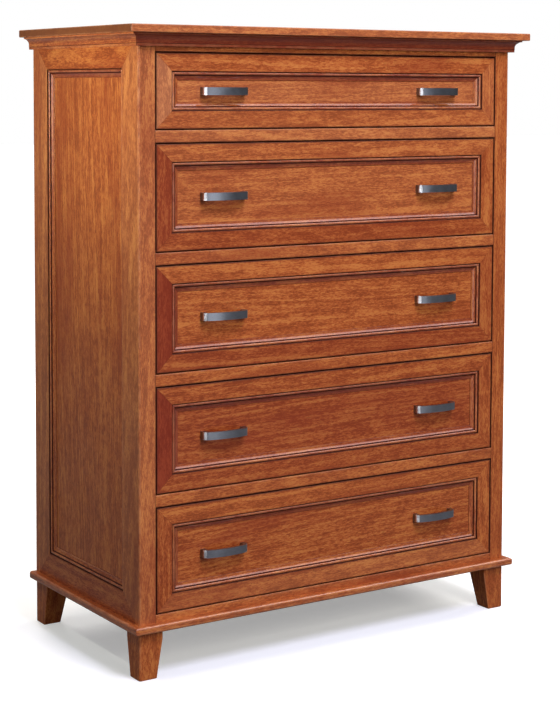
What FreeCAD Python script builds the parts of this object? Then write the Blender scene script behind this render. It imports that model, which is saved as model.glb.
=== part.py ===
import FreeCAD, Part
import math
import os
import Sketcher

# The driving sizes, in millimetres

SIZES = [
    ("case_width", 952.0, "width of the case over the side frames"),
    ("case_depth", 482.0, "depth of the case from the face frame to the back"),
    ("foot_height", 99.0, "height of the feet, floor to case"),
    ("foot_top", 54.0, "side of the square foot where it meets the case"),
    ("foot_bottom", 40.0, "side of the foot at the floor"),
    ("foot_straight", 18.0, "untapered length at the top of a foot"),
    ("foot_corner_radius", 3.0, "rounding of the foot's outer corner"),
    ("stile_width", 38.0, "width of a face frame stile"),
    ("face_thick", 20.0, "thickness of the face frame"),
    ("bottom_rail_height", 32.0, "height of the lowest rail"),
    ("rail_height", 25.4, "height of a rail between two drawers"),
    ("top_rail_height", 37.0, "height of the rail under the top board"),
    ("rail_ease", 1.2, "eased front edges of rails and drawer frames"),
    ("big_front_height", 215.6, "height of the four large drawer fronts"),
    ("small_front_height", 152.0, "height of the top drawer front"),
    ("front_gap", 2.0, "gap all round an inset drawer front"),
    ("front_thick", 20.0, "thickness of a drawer front's frame"),
    ("front_member_width", 36.5, "width of a drawer front's frame members"),
    ("front_recess", 10.0, "depth of a drawer panel below its frame"),
    ("side_thick", 20.0, "thickness of a side frame"),
    ("side_member_width", 70.0, "width of a side frame's members"),
    ("side_recess", 10.0, "depth of a side panel below its frame"),
    ("panel_lap", 8.0, "how far a panel reaches behind its frame"),
    ("moulding_width", 17.5, "width of the panel moulding"),
    ("moulding_quirk", 1.3, "groove between a frame and its moulding"),
    ("moulding_bead_radius", 3.2, "radius of the bead on the panel moulding"),
    ("moulding_step", 1.6, "drop from the bead to the cove"),
    ("moulding_cove_radius", 14.0, "radius of the cove on the panel moulding"),
    ("moulding_lip", 1.4, "thickness of the moulding where it meets the panel"),
    ("board_thick", 16.0, "thickness of the top board"),
    ("board_side_overhang", 34.0, "overhang of the top board at each side"),
    ("board_front_overhang", 36.0, "overhang of the top board at the front"),
    ("board_edge_radius", 2.0, "rounding of the top board's edges"),
    ("crown_height", 26.0, "height of the crown moulding"),
    ("crown_bead_proud", 12.0, "reach of the crown's bead in front of the case"),
    ("crown_bead_radius", 2.4, "radius of the crown's bead"),
    ("crown_neck_proud", 10.0, "reach of the crown's flat neck"),
    ("crown_neck_height", 7.0, "height of the crown's flat neck"),
    ("crown_cove_proud", 20.0, "reach of the crown at the top of its cove"),
    ("crown_fillet_proud", 22.0, "reach of the crown's top fillet"),
    ("crown_fillet_height", 3.2, "height of the crown's top fillet"),
    ("base_height", 16.0, "height of the base moulding"),
    ("base_proud", 16.0, "reach of the base moulding in front of the case"),
    ("base_edge_radius", 4.5, "rounding of the base moulding's edges"),
    ("back_thick", 6.0, "thickness of the back panel"),
    ("back_rail_thick", 20.0, "thickness of the rails at the back"),
    ("bottom_thick", 12.0, "thickness of the case's bottom board"),
    ("block_side", 70.0, "side of a corner block over a foot"),
    ("cleat_height", 60.0, "height of the cleats that carry the slides"),
    ("box_thick", 12.7, "thickness of the drawer box boards"),
    ("box_back_gap", 6.0, "room behind a closed drawer's box"),
    ("box_rise", 10.0, "height of a box above the bottom of its opening"),
    ("box_top_gap", 18.0, "room above a box in its opening"),
    ("groove_rise", 12.0, "height of the bottom's groove in the box"),
    ("groove_depth", 6.0, "depth of the bottom's groove"),
    ("drawer_bottom_thick", 6.0, "thickness of a drawer bottom"),
    ("bottom_clearance", 0.5, "clearance of a drawer bottom in its groove"),
    ("pin_narrow", 6.0, "width of a dovetail pin at the outside face"),
    ("pin_wide", 9.6, "width of a dovetail pin at the inside face"),
    ("slide_width", 12.7, "room for a slide between the box and its cleat"),
    ("slide_back_gap", 3.0, "room behind the slides"),
    ("slide_setback", 3.0, "setback of the slides behind the face frame"),
    ("slide_rise", 62.0, "height of a slide's middle above the box's edge"),
    ("slide_metal", 1.2, "thickness of the slides' steel"),
    ("slide_gap", 0.3, "running gap between two members of a slide"),
    ("channel_height", 45.0, "height of a slide's case member"),
    ("channel_reach", 9.5, "reach of the case member's flanges"),
    ("channel_lip", 4.0, "height of the case member's lips"),
    ("middle_lip", 6.0, "height of the middle member's lips"),
    ("runner_hook", 5.5, "height of the hooks on the drawer member"),
    ("pull_inset", 161.0, "distance of a pull's middle from the end of its drawer front"),
    ("pull_screws", 96.0, "distance between a pull's two screws"),
    ("pull_leg", 10.0, "width of a pull's legs"),
    ("pull_height", 16.0, "height of a pull's strap"),
    ("pull_stand", 26.0, "reach of a pull in front of its panel"),
    ("pull_sag", 8.0, "how far a pull's ends stand back from its middle"),
    ("pull_thick", 5.0, "thickness of a pull's strap"),
    ("pull_chamfer", 0.8, "chamfer along a pull's front edges"),
    ("screw_radius", 1.95, "radius of a pull screw"),
    ("screw_play", 0.05, "clearance of a pull screw in its leg"),
    ("screw_hole_play", 0.35, "clearance of a pull screw in the wood"),
    ("screw_bite", 9.0, "length of a pull screw inside its leg"),
    ("screw_head_radius", 4.2, "radius of a pull screw's head"),
    ("screw_head_height", 2.4, "height of a pull screw's head"),
    ("cut_overrun", 5.0, "how far a cut runs past what it cuts"),
]

BIG_BOX_TAILS = 5
SMALL_BOX_TAILS = 3

document = FreeCAD.newDocument("chest_of_drawers")
sheet = document.addObject("Spreadsheet::Sheet", "Sizes")
for row, (alias, millimetres, meaning) in enumerate(SIZES, start=1):
    sheet.set("A%d" % row, meaning)
    sheet.set("B%d" % row, str(millimetres))
    sheet.setAlias("B%d" % row, alias)
document.recompute()


# Lengths that know both their number and their formula in the sheet

class Length:
    def __init__(self, number, formula):
        self.number = number
        self.formula = formula

    def __add__(self, other):
        return Length(self.number + other.number, "(%s + %s)" % (self.formula, other.formula))

    def __sub__(self, other):
        return Length(self.number - other.number, "(%s - %s)" % (self.formula, other.formula))

    def __neg__(self):
        return Length(-self.number, "(-1 * %s)" % self.formula)

    def __mul__(self, factor):
        return Length(self.number * factor, "(%s * %r)" % (self.formula, factor))

    def __truediv__(self, factor):
        return Length(self.number / factor, "(%s / %r)" % (self.formula, factor))


def size(alias):
    return Length(float(sheet.get(alias)), "Sizes." + alias)


ZERO = Length(0.0, "0")
OVERRUN = size("cut_overrun")
X_AXIS = FreeCAD.Vector(1, 0, 0)
Y_AXIS = FreeCAD.Vector(0, 1, 0)
Z_AXIS = FreeCAD.Vector(0, 0, 1)


# Sketches whose corners are bound to the sheet

def sketch_on(body, name, plane_role):
    sketch = body.newObject("Sketcher::SketchObject", name)
    plane = next(item for item in body.Origin.OriginFeatures if item.Role == plane_role)
    sketch.AttachmentSupport = [(plane, "")]
    sketch.MapMode = "FlatFace"
    return sketch


def arc_between(start, end, radius, turn):
    """An arc from start to end; turn is 1 for counter-clockwise, -1 for clockwise."""
    chord = end - start
    middle = (start + end) / 2
    reach = math.sqrt(max(radius ** 2 - (chord.Length / 2) ** 2, 0.0))
    left = FreeCAD.Vector(-chord.y, chord.x, 0).normalize()
    centre = middle + left * (reach * turn)
    first, last = (start, end) if turn > 0 else (end, start)
    first_angle = math.atan2(first.y - centre.y, first.x - centre.x)
    last_angle = math.atan2(last.y - centre.y, last.x - centre.x)
    circle = Part.Circle(centre, Z_AXIS, radius)
    return Part.ArcOfCircle(circle, first_angle, last_angle)


def bind(sketch, kinds, formulas):
    """Add constraints in one go and tie the measured ones to their formulas."""
    numbers = sketch.addConstraint(kinds)
    for number, formula in zip(numbers, formulas):
        if formula is not None:
            sketch.setExpression("Constraints[%d]" % number, formula)


def draw_outline(sketch, corners, arcs=None):
    """Draw a closed outline; arcs maps a corner's index to the radius and turn of its next edge."""
    arcs = arcs or {}
    points = [FreeCAD.Vector(across.number, up.number, 0) for across, up in corners]
    edges = []
    for index, start in enumerate(points):
        end = points[(index + 1) % len(points)]
        if index in arcs:
            radius, turn = arcs[index]
            edges.append(arc_between(start, end, radius.number, turn))
        else:
            edges.append(Part.LineSegment(start, end))
    numbers = sketch.addGeometry(edges, False)
    head = {}
    tail = {}
    for index, number in enumerate(numbers):
        clockwise = index in arcs and arcs[index][1] < 0
        head[index] = 2 if clockwise else 1
        tail[index] = 1 if clockwise else 2
    kinds = []
    formulas = []
    for index, number in enumerate(numbers):
        following = (index + 1) % len(numbers)
        across, up = corners[index]
        kinds.append(Sketcher.Constraint("Coincident", number, tail[index],
                                         numbers[following], head[following]))
        formulas.append(None)
        kinds.append(Sketcher.Constraint("DistanceX", -1, 1, number, head[index], across.number))
        formulas.append(across.formula)
        kinds.append(Sketcher.Constraint("DistanceY", -1, 1, number, head[index], up.number))
        formulas.append(up.formula)
        if index in arcs:
            kinds.append(Sketcher.Constraint("Radius", number, arcs[index][0].number))
            formulas.append(arcs[index][0].formula)
    bind(sketch, kinds, formulas)


def draw_circle(sketch, across, up, radius):
    centre = FreeCAD.Vector(across.number, up.number, 0)
    number = sketch.addGeometry(Part.Circle(centre, Z_AXIS, radius.number), False)
    kinds = [Sketcher.Constraint("DistanceX", -1, 1, number, 3, across.number),
             Sketcher.Constraint("DistanceY", -1, 1, number, 3, up.number),
             Sketcher.Constraint("Radius", number, radius.number)]
    bind(sketch, kinds, [across.formula, up.formula, radius.formula])


def rectangle(left, right, low, high):
    return [(left, low), (right, low), (right, high), (left, high)]


# Bodies, pads and pockets

def new_body(name):
    body = document.addObject("PartDesign::Body", name)
    body.Label = name
    return body


def pad(body, sketch, depth, symmetric=False, backwards=False):
    feature = body.newObject("PartDesign::Pad", sketch.Name + "_pad")
    feature.Profile = (sketch, [""])
    feature.Midplane = symmetric
    feature.Reversed = backwards
    feature.Length = depth.number
    feature.setExpression("Length", depth.formula)
    return feature


def pocket_through(body, sketch):
    feature = body.newObject("PartDesign::Pocket", sketch.Name + "_cut")
    feature.Profile = (sketch, [""])
    feature.Type = "ThroughAll"
    feature.Midplane = True
    return feature


def place(item, x, y, z, rotation=None):
    item.Placement = FreeCAD.Placement(FreeCAD.Vector(), rotation or FreeCAD.Rotation())
    item.setExpression("Placement.Base.x", x.formula)
    item.setExpression("Placement.Base.y", y.formula)
    item.setExpression("Placement.Base.z", z.formula)
    return item


def board(name, left, right, front, back, low, high):
    """A plain sawn board between six faces."""
    item = document.addObject("Part::Box", name)
    item.Label = name
    item.setExpression("Length", (right - left).formula)
    item.setExpression("Width", (back - front).formula)
    item.setExpression("Height", (high - low).formula)
    return place(item, left, front, low)


subparts = []


def keep(item):
    """Count an object as one of the chest's sub-parts."""
    subparts.append(item)
    return item


def group(name, members):
    """Several like pieces that share one node."""
    item = document.addObject("Part::Compound", name)
    item.Label = name
    item.Links = members
    return keep(item)


# Sticks of moulding and frame members, mitred at their ends

def cut_end(body, name, length, near, far, side, mitred):
    """Cut one end of a stick that lies along X; near and far are its edges across the frame."""
    sketch = sketch_on(body, name, "XY_Plane")
    inner = near - OVERRUN
    outer = far + OVERRUN
    beyond = length / 2 - near + OVERRUN + OVERRUN
    if mitred:
        corners = [(length / 2 - inner, inner), (beyond, inner), (beyond, outer), (length / 2 - outer, outer)]
    else:
        corners = rectangle(length / 2, beyond, inner, outer)
    if side < 0:
        corners = [(-across, up) for across, up in corners]
    draw_outline(sketch, corners)
    pocket_through(body, sketch)


def stick(name, corners, arcs, length, near, far, left_mitred=True, right_mitred=True):
    """A stick along X, length long where its outline is zero across; mitres close towards far."""
    body = new_body(name)
    sketch = sketch_on(body, name + "_outline", "YZ_Plane")
    draw_outline(sketch, corners, arcs)
    pad(body, sketch, length - near * 2, symmetric=True)
    cut_end(body, name + "_left", length, near, far, -1, left_mitred)
    cut_end(body, name + "_right", length, near, far, 1, right_mitred)
    return body


def upright_frame(name, corners, arcs, far, width, height, centre_x, centre_y, low, facing):
    """Four mitred sticks round a rectangle; facing turns the frame's face from -Y about Z."""
    along_x = round(math.cos(math.radians(facing)))
    along_y = round(math.sin(math.radians(facing)))
    turn = FreeCAD.Rotation(Z_AXIS, facing)
    lay = FreeCAD.Rotation(X_AXIS, 90)
    stations = [
        ("bottom", width, ZERO, ZERO, 0),
        ("top", width, ZERO, height, 180),
        ("left", height, -width / 2, height / 2, 90),
        ("right", height, width / 2, height / 2, -90),
    ]
    members = []
    for side, length, offset, rise, angle in stations:
        member = stick("%s_%s" % (name, side), corners, arcs, length, ZERO, far)
        swing = FreeCAD.Rotation(Y_AXIS, angle)
        place(member, centre_x + offset * along_x, centre_y + offset * along_y, low + rise,
              turn.multiply(swing).multiply(lay))
        members.append(member)
    return members


# Sizes worked out from the driving ones

half_width = size("case_width") / 2
front_face = size("board_front_overhang") - (size("case_depth") + size("board_front_overhang")) / 2
back_face = front_face + size("case_depth")
face_back = front_face + size("face_thick")
side_inside = half_width - size("side_thick")
opening_half = half_width - size("stile_width")
case_low = size("foot_height")
front_width = (opening_half - size("front_gap")) * 2
pull_centre = front_width / 2 - size("pull_inset")
box_half = opening_half - size("slide_width")
box_front = front_face + size("front_thick")
box_inside = box_half - size("box_thick")
back_panel_front = back_face - size("back_thick")
box_back = back_panel_front - size("box_back_gap")
box_length = box_back - box_front
slide_front = face_back + size("slide_setback")
slide_length = back_panel_front - size("slide_back_gap") - slide_front
middle_y = (front_face + back_face) / 2


def drawer_openings():
    """The low and high edge of each opening in the face frame, top drawer first."""
    rows = {}
    low = case_low + size("bottom_rail_height")
    for drawer in (5, 4, 3, 2, 1):
        front_height = size("small_front_height") if drawer == 1 else size("big_front_height")
        high = low + front_height + size("front_gap") * 2
        rows[drawer] = (low, high)
        low = high + size("rail_height")
    return rows


openings = drawer_openings()
case_high = openings[1][1] + size("top_rail_height")


# Top board

def top_board():
    body = new_body("top_board")
    sketch = sketch_on(body, "top_board_outline", "XY_Plane")
    board_half = half_width + size("board_side_overhang")
    board_front = front_face - size("board_front_overhang")
    draw_outline(sketch, rectangle(-board_half, board_half, board_front, back_face))
    slab = pad(body, sketch, size("board_thick"))
    document.recompute()
    edges = []
    for number, edge in enumerate(slab.Shape.Edges, start=1):
        box = edge.BoundBox
        level = box.ZLength < box.DiagonalLength / 2
        at_back = box.YLength < box.DiagonalLength / 2 and box.Center.y > middle_y.number
        if level and not at_back:
            edges.append("Edge%d" % number)
    rounding = body.newObject("PartDesign::Fillet", "top_board_rounding")
    rounding.Base = (slab, edges)
    rounding.Radius = size("board_edge_radius").number
    rounding.setExpression("Radius", size("board_edge_radius").formula)
    place(body, ZERO, ZERO, case_high)
    keep(body)


# Mouldings round the case, on the front and both sides

def case_moulding(name, corners, arcs, reach, low):
    """Three sticks: the front one mitred at both ends, the side ones square at the back."""
    front = stick(name + "_front", corners, arcs, size("case_width"), -reach, ZERO)
    place(front, ZERO, front_face, low)
    left = stick(name + "_left", corners, arcs, size("case_depth"), -reach, ZERO, left_mitred=False)
    place(left, -half_width, middle_y, low, FreeCAD.Rotation(Z_AXIS, -90))
    right = stick(name + "_right", corners, arcs, size("case_depth"), -reach, ZERO, right_mitred=False)
    place(right, half_width, middle_y, low, FreeCAD.Rotation(Z_AXIS, 90))
    group(name, [front, left, right])


def crown_moulding():
    bead = size("crown_bead_radius")
    neck = size("crown_neck_proud")
    neck_top = bead * 2 + size("crown_neck_height")
    cove_top = size("crown_height") - size("crown_fillet_height")
    bead_face = size("crown_bead_proud") - bead
    corners = [
        (ZERO, ZERO),
        (ZERO, size("crown_height")),
        (-size("crown_fillet_proud"), size("crown_height")),
        (-size("crown_fillet_proud"), cove_top),
        (-size("crown_cove_proud"), cove_top),
        (-neck, neck_top),
        (-neck, bead * 2),
        (-bead_face, bead * 2),
        (-size("crown_bead_proud"), bead),
        (-bead_face, ZERO),
    ]
    cove_radius = size("crown_cove_proud") - neck + (cove_top - neck_top) / 4
    arcs = {4: (cove_radius, -1), 7: (bead, 1), 8: (bead, 1)}
    case_moulding("crown_moulding", corners, arcs, size("crown_fillet_proud"),
                  case_high - size("crown_height"))


def base_moulding():
    reach = size("base_proud")
    radius = size("base_edge_radius")
    high = size("base_height")
    corners = [
        (ZERO, ZERO),
        (ZERO, high),
        (radius - reach, high),
        (-reach, high - radius),
        (-reach, radius),
        (radius - reach, ZERO),
    ]
    arcs = {2: (radius, 1), 4: (radius, 1)}
    case_moulding("base_moulding", corners, arcs, reach, case_low)


# Frame, panel and panel moulding, alike on the sides and the drawers

def frame_outline(member_width, thick, recess, ease):
    """Section of a frame member, outer edge at zero across, back face at zero up."""
    lap = member_width - size("panel_lap")
    panel_face = thick - recess
    return [
        (ZERO, ZERO),
        (lap, ZERO),
        (lap, panel_face),
        (member_width, panel_face),
        (member_width, thick),
        (ease, thick),
        (ZERO, thick - ease),
    ]


def panel_moulding_outline(height):
    """Section of the panel moulding, outer edge at zero across, back face at zero up."""
    quirk = size("moulding_quirk")
    bead = size("moulding_bead_radius")
    shoulder = height - bead
    bead_end = quirk + bead * 2
    step = shoulder - size("moulding_step")
    corners = [
        (ZERO, ZERO),
        (size("moulding_width"), ZERO),
        (size("moulding_width"), size("moulding_lip")),
        (bead_end, step),
        (bead_end, shoulder),
        (quirk + bead, height),
        (quirk, shoulder),
        (ZERO, shoulder),
    ]
    arcs = {2: (size("moulding_cove_radius"), -1), 4: (bead, 1), 5: (bead, 1)}
    return corners, arcs


def side(name, centre_x, back_x, facing):
    """One framed and panelled side of the case, its face turned to -X or +X."""
    height = case_high - case_low
    corners = frame_outline(size("side_member_width"), size("side_thick"), size("side_recess"), ZERO)
    corners = corners[:5] + [(ZERO, size("side_thick"))]
    members = upright_frame(name + "_side_member", corners, {}, size("side_member_width"),
                            size("case_depth"), height, back_x, middle_y, case_low, facing)
    joined = document.addObject("Part::Compound", name + "_side_members")
    joined.Links = members
    bevel = new_body(name + "_corner_bevel")
    sketch = sketch_on(bevel, name + "_corner_bevel_outline", "XY_Plane")
    outward = 1 if centre_x.number > 0 else -1
    inner = side_inside - OVERRUN
    beyond = half_width + OVERRUN
    corners = [
        (inner * outward, face_back + OVERRUN),
        (inner * outward, front_face - OVERRUN),
        (beyond * outward, front_face - OVERRUN),
    ]
    draw_outline(sketch, corners)
    pad(bevel, sketch, height + OVERRUN * 2)
    place(bevel, ZERO, ZERO, case_low - OVERRUN)
    frame = document.addObject("Part::Cut", name + "_side_frame")
    frame.Label = name + "_side_frame"
    frame.Base = joined
    frame.Tool = bevel
    keep(frame)

    lap = size("side_member_width") - size("panel_lap")
    panel_face = back_x + (size("side_thick") - size("side_recess")) * outward
    left, right = (back_x, panel_face) if outward > 0 else (panel_face, back_x)
    keep(board(name + "_side_panel", left, right, front_face + lap, back_face - lap,
               case_low + lap, case_high - lap))

    corners, arcs = panel_moulding_outline(size("side_recess"))
    member = size("side_member_width")
    sticks = upright_frame(name + "_side_moulding_stick", corners, arcs, size("moulding_width"),
                           size("case_depth") - member * 2, height - member * 2,
                           panel_face, middle_y, case_low + member, facing)
    group(name + "_side_moulding", sticks)


# Face frame

def face_frame():
    height = case_high - case_low
    stiles = []
    for name, outward in (("left", -1), ("right", 1)):
        body = new_body(name + "_stile")
        sketch = sketch_on(body, name + "_stile_outline", "XY_Plane")
        corners = [
            (half_width * outward, front_face),
            (opening_half * outward, front_face),
            (opening_half * outward, face_back),
            (side_inside * outward, face_back),
        ]
        draw_outline(sketch, corners)
        pad(body, sketch, height)
        place(body, ZERO, ZERO, case_low)
        stiles.append(body)
    group("face_frame_stiles", stiles)

    levels = [(case_low, openings[5][0])]
    for drawer in (5, 4, 3, 2):
        levels.append((openings[drawer][1], openings[drawer - 1][0]))
    levels.append((openings[1][1], case_high))
    ease = size("rail_ease")
    rails = []
    for number, (low, high) in enumerate(levels, start=1):
        body = new_body("rail_%d" % number)
        sketch = sketch_on(body, "rail_%d_outline" % number, "YZ_Plane")
        corners = [
            (front_face + ease, low),
            (face_back, low),
            (face_back, high),
            (front_face + ease, high),
            (front_face, high - ease),
            (front_face, low + ease),
        ]
        draw_outline(sketch, corners)
        pad(body, sketch, opening_half * 2, symmetric=True)
        rails.append(body)
    group("face_frame_rails", rails)


# Back, bottom, corner blocks and cleats

def case_inside():
    rail_front = back_panel_front - size("back_rail_thick")
    panel = board("back_panel", -side_inside, side_inside, back_panel_front, back_face, case_low, case_high)
    low_rail = board("back_low_rail", -side_inside, side_inside, rail_front, back_panel_front,
                     case_low, openings[5][0])
    high_rail = board("back_high_rail", -side_inside, side_inside, rail_front, back_panel_front,
                      openings[1][1], case_high)
    group("case_back", [panel, low_rail, high_rail])

    bottom_high = openings[5][0]
    bottom_low = bottom_high - size("bottom_thick")
    keep(board("case_bottom", -side_inside, side_inside, face_back, rail_front, bottom_low, bottom_high))

    blocks = []
    for name, outward in (("left", -1), ("right", 1)):
        outer = side_inside * outward
        inner = (side_inside - size("block_side")) * outward
        left, right = (inner, outer) if outward > 0 else (outer, inner)
        blocks.append(board(name + "_front_block", left, right, face_back, face_back + size("block_side"),
                            case_low, bottom_low))
        blocks.append(board(name + "_back_block", left, right, rail_front - size("block_side"), rail_front,
                            case_low, bottom_low))
    group("corner_blocks", blocks)

    cleats = []
    for drawer, (low, high) in openings.items():
        middle = low + size("box_rise") + size("slide_rise")
        for name, outward in (("left", -1), ("right", 1)):
            outer = side_inside * outward
            inner = opening_half * outward
            left, right = (inner, outer) if outward > 0 else (outer, inner)
            cleats.append(board("%s_cleat_%d" % (name, drawer), left, right, face_back, back_panel_front,
                                middle - size("cleat_height") / 2, middle + size("cleat_height") / 2))
    group("slide_cleats", cleats)


# Feet

def foot(name, corner_x, corner_y, angle):
    """A square foot with its outer corner at its origin and both inner faces tapered."""
    body = new_body(name)
    top = size("foot_top")
    bottom = size("foot_bottom")
    high = size("foot_height")
    knee = high - size("foot_straight")
    radius = size("foot_corner_radius")
    sketch = sketch_on(body, name + "_outline", "XY_Plane")
    corners = [(radius, ZERO), (top, ZERO), (top, top), (ZERO, top), (ZERO, radius)]
    draw_outline(sketch, corners, {4: (radius, 1)})
    pad(body, sketch, high)
    for plane in ("XZ_Plane", "YZ_Plane"):
        taper = sketch_on(body, "%s_taper_%s" % (name, plane[:2]), plane)
        corners = [
            (top, knee),
            (bottom, ZERO),
            (bottom, -OVERRUN),
            (top + OVERRUN, -OVERRUN),
            (top + OVERRUN, knee),
        ]
        draw_outline(taper, corners)
        pocket_through(body, taper)
    place(body, corner_x, corner_y, ZERO, FreeCAD.Rotation(Z_AXIS, angle))
    keep(body)


# Slides: three nested members, drawn with X from the case towards the drawer

def channel_outline():
    metal = size("slide_metal")
    half = size("channel_height") / 2
    reach = size("channel_reach")
    lip = half - size("channel_lip")
    upper = [
        (ZERO, half),
        (reach, half),
        (reach, lip),
        (reach - metal, lip),
        (reach - metal, half - metal),
        (metal, half - metal),
    ]
    return upper


def middle_outline():
    metal = size("slide_metal")
    gap = size("slide_gap")
    half = size("channel_height") / 2 - metal - gap
    near = metal + gap
    reach = size("channel_reach") - metal - gap
    lip = half - size("middle_lip")
    upper = [
        (near, half),
        (reach, half),
        (reach, lip),
        (reach - metal, lip),
        (reach - metal, half - metal),
        (near + metal, half - metal),
    ]
    return upper


def runner_outline():
    metal = size("slide_metal")
    gap = size("slide_gap")
    high = size("channel_height") / 2 - (metal + gap) * 2
    near = (metal + gap) * 2
    flange = size("channel_height") / 2 - metal - gap - size("middle_lip") - gap
    far = size("slide_width")
    upper = [
        (far, flange),
        (near + metal, flange),
        (near + metal, high),
        (near, high),
        (near, flange - metal),
        (far - metal, flange - metal),
    ]
    return upper


def slide_member(name, upper, outward, middle):
    """One member of a slide along Y, made from the upper half of its section and its mirror."""
    body = new_body(name)
    sketch = sketch_on(body, name + "_outline", "XZ_Plane")
    lower = [(across, -up) for across, up in reversed(upper)]
    corners = [((opening_half - across) * outward, middle + up) for across, up in upper + lower]
    draw_outline(sketch, corners)
    pad(body, sketch, slide_length, backwards=True)
    place(body, ZERO, slide_front, ZERO)
    return body


# Drawers

def pull_places():
    half = size("pull_screws") / 2
    return [-pull_centre - half, -pull_centre + half, pull_centre - half, pull_centre + half]


def pin_shapes(tails, height, front):
    """Dovetail pins as outlines of depth and height; the back board has no lowest half pin."""
    thick = size("box_thick")
    narrow = size("pin_narrow") / 2
    wide = size("pin_wide") / 2
    shapes = []
    for number in range(1, tails):
        level = height * (number / tails)
        shapes.append([(ZERO, level - narrow), (thick, level - wide),
                       (thick, level + wide), (ZERO, level + narrow)])
    shapes.append([(ZERO, height - narrow * 2), (thick, height - narrow - wide),
                   (thick, height), (ZERO, height)])
    if front:
        shapes.append([(ZERO, ZERO), (thick, ZERO), (thick, narrow + wide), (ZERO, narrow * 2)])
    return shapes


def box_side(name, outward, low, height, tails):
    body = new_body(name)
    groove_low = size("groove_rise")
    groove_high = groove_low + size("drawer_bottom_thick")
    groove = size("box_thick") - size("groove_depth")
    sketch = sketch_on(body, name + "_outline", "XZ_Plane")
    outline = [
        (ZERO, ZERO),
        (size("box_thick"), ZERO),
        (size("box_thick"), groove_low),
        (groove, groove_low),
        (groove, groove_high),
        (size("box_thick"), groove_high),
        (size("box_thick"), height),
        (ZERO, height),
    ]
    draw_outline(sketch, [((box_half - across) * outward, up) for across, up in outline])
    pad(body, sketch, box_length, backwards=True)
    for end, front in (("front", True), ("back", False)):
        sockets = sketch_on(body, "%s_%s_sockets" % (name, end), "YZ_Plane")
        for shape in pin_shapes(tails, height, front):
            if front:
                draw_outline(sockets, shape)
            else:
                draw_outline(sockets, [(box_length - depth, up) for depth, up in shape])
        pocket_through(body, sockets)
    place(body, ZERO, box_front, low)
    return body


def box_end(name, low, foot_of_board, height, tails, front, holes=None):
    """The front or back board of a drawer box, with its dovetail pins at both ends."""
    body = new_body(name)
    thick = size("box_thick")
    sketch = sketch_on(body, name + "_outline", "XZ_Plane")
    draw_outline(sketch, rectangle(-box_inside, box_inside, foot_of_board, height))
    if holes is not None:
        for across in pull_places():
            draw_circle(sketch, across, holes, size("screw_radius") + size("screw_hole_play"))
    pad(body, sketch, thick, backwards=True)
    if front:
        groove = sketch_on(body, name + "_groove", "YZ_Plane")
        draw_outline(groove, rectangle(thick - size("groove_depth"), thick + OVERRUN, size("groove_rise"),
                                       size("groove_rise") + size("drawer_bottom_thick")))
        pocket_through(body, groove)
    shapes = pin_shapes(tails, height, front)
    if not front:
        shapes = [[(thick - depth, up) for depth, up in shape] for shape in shapes]
    for side_name, outward in (("left", -1), ("right", 1)):
        pins = sketch_on(body, "%s_%s_pins" % (name, side_name), "YZ_Plane")
        for shape in shapes:
            draw_outline(pins, shape)
        pins.AttachmentOffset = FreeCAD.Placement(FreeCAD.Vector(), FreeCAD.Rotation())
        pins.setExpression("AttachmentOffset.Base.z", (box_inside * outward).formula)
        pad(body, pins, thick, backwards=outward < 0)
    place(body, ZERO, box_front if front else box_back - thick, low)
    return body


def pull(name, centre_x, centre_z, panel_face):
    """A flat strap bent to a bow, standing on two legs that take the screws."""
    body = new_body(name)
    outer = size("pull_screws") / 2 + size("pull_leg") / 2
    inner = size("pull_screws") / 2 - size("pull_leg") / 2
    stand = size("pull_stand")
    end = stand - size("pull_sag")
    bow_radius = bow(outer, size("pull_sag"))
    inner_sag = size("pull_sag") - size("pull_thick") * 0.2
    inner_end = stand - size("pull_thick") - inner_sag
    inner_radius = bow(inner, inner_sag)
    corners = [
        (-outer, ZERO),
        (-outer, -end),
        (outer, -end),
        (outer, ZERO),
        (inner, ZERO),
        (inner, -inner_end),
        (-inner, -inner_end),
        (-inner, ZERO),
    ]
    sketch = sketch_on(body, name + "_outline", "XY_Plane")
    draw_outline(sketch, corners, {1: (bow_radius, 1), 5: (inner_radius, -1)})
    strap = pad(body, sketch, size("pull_height"), symmetric=True)
    document.recompute()
    edges = []
    for number, edge in enumerate(strap.Shape.Edges, start=1):
        box = edge.BoundBox
        if box.ZLength < box.XLength and box.YMin < -end.number - size("pull_sag").number / 2:
            edges.append("Edge%d" % number)
    easing = body.newObject("PartDesign::Chamfer", name + "_easing")
    easing.Base = (strap, edges)
    easing.Size = size("pull_chamfer").number
    easing.setExpression("Size", size("pull_chamfer").formula)
    holes = sketch_on(body, name + "_holes", "XZ_Plane")
    for side in (-1, 1):
        draw_circle(holes, size("pull_screws") / 2 * side, ZERO, size("screw_radius") + size("screw_play"))
    drilled = body.newObject("PartDesign::Pocket", name + "_drilled")
    drilled.Profile = (holes, [""])
    drilled.Reversed = True
    drilled.Length = size("screw_bite").number
    drilled.setExpression("Length", (size("screw_bite") + size("screw_hole_play")).formula)
    place(body, centre_x, panel_face, centre_z)
    return body


def bow(half_chord, sag):
    """Radius of an arc from half its chord and its sag, as a length bound to both."""
    number = (half_chord.number ** 2 + sag.number ** 2) / (2 * sag.number)
    formula = "((%s ^ 2 + %s ^ 2) / (2 * %s))" % (half_chord.formula, sag.formula, sag.formula)
    return Length(number, formula)


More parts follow.
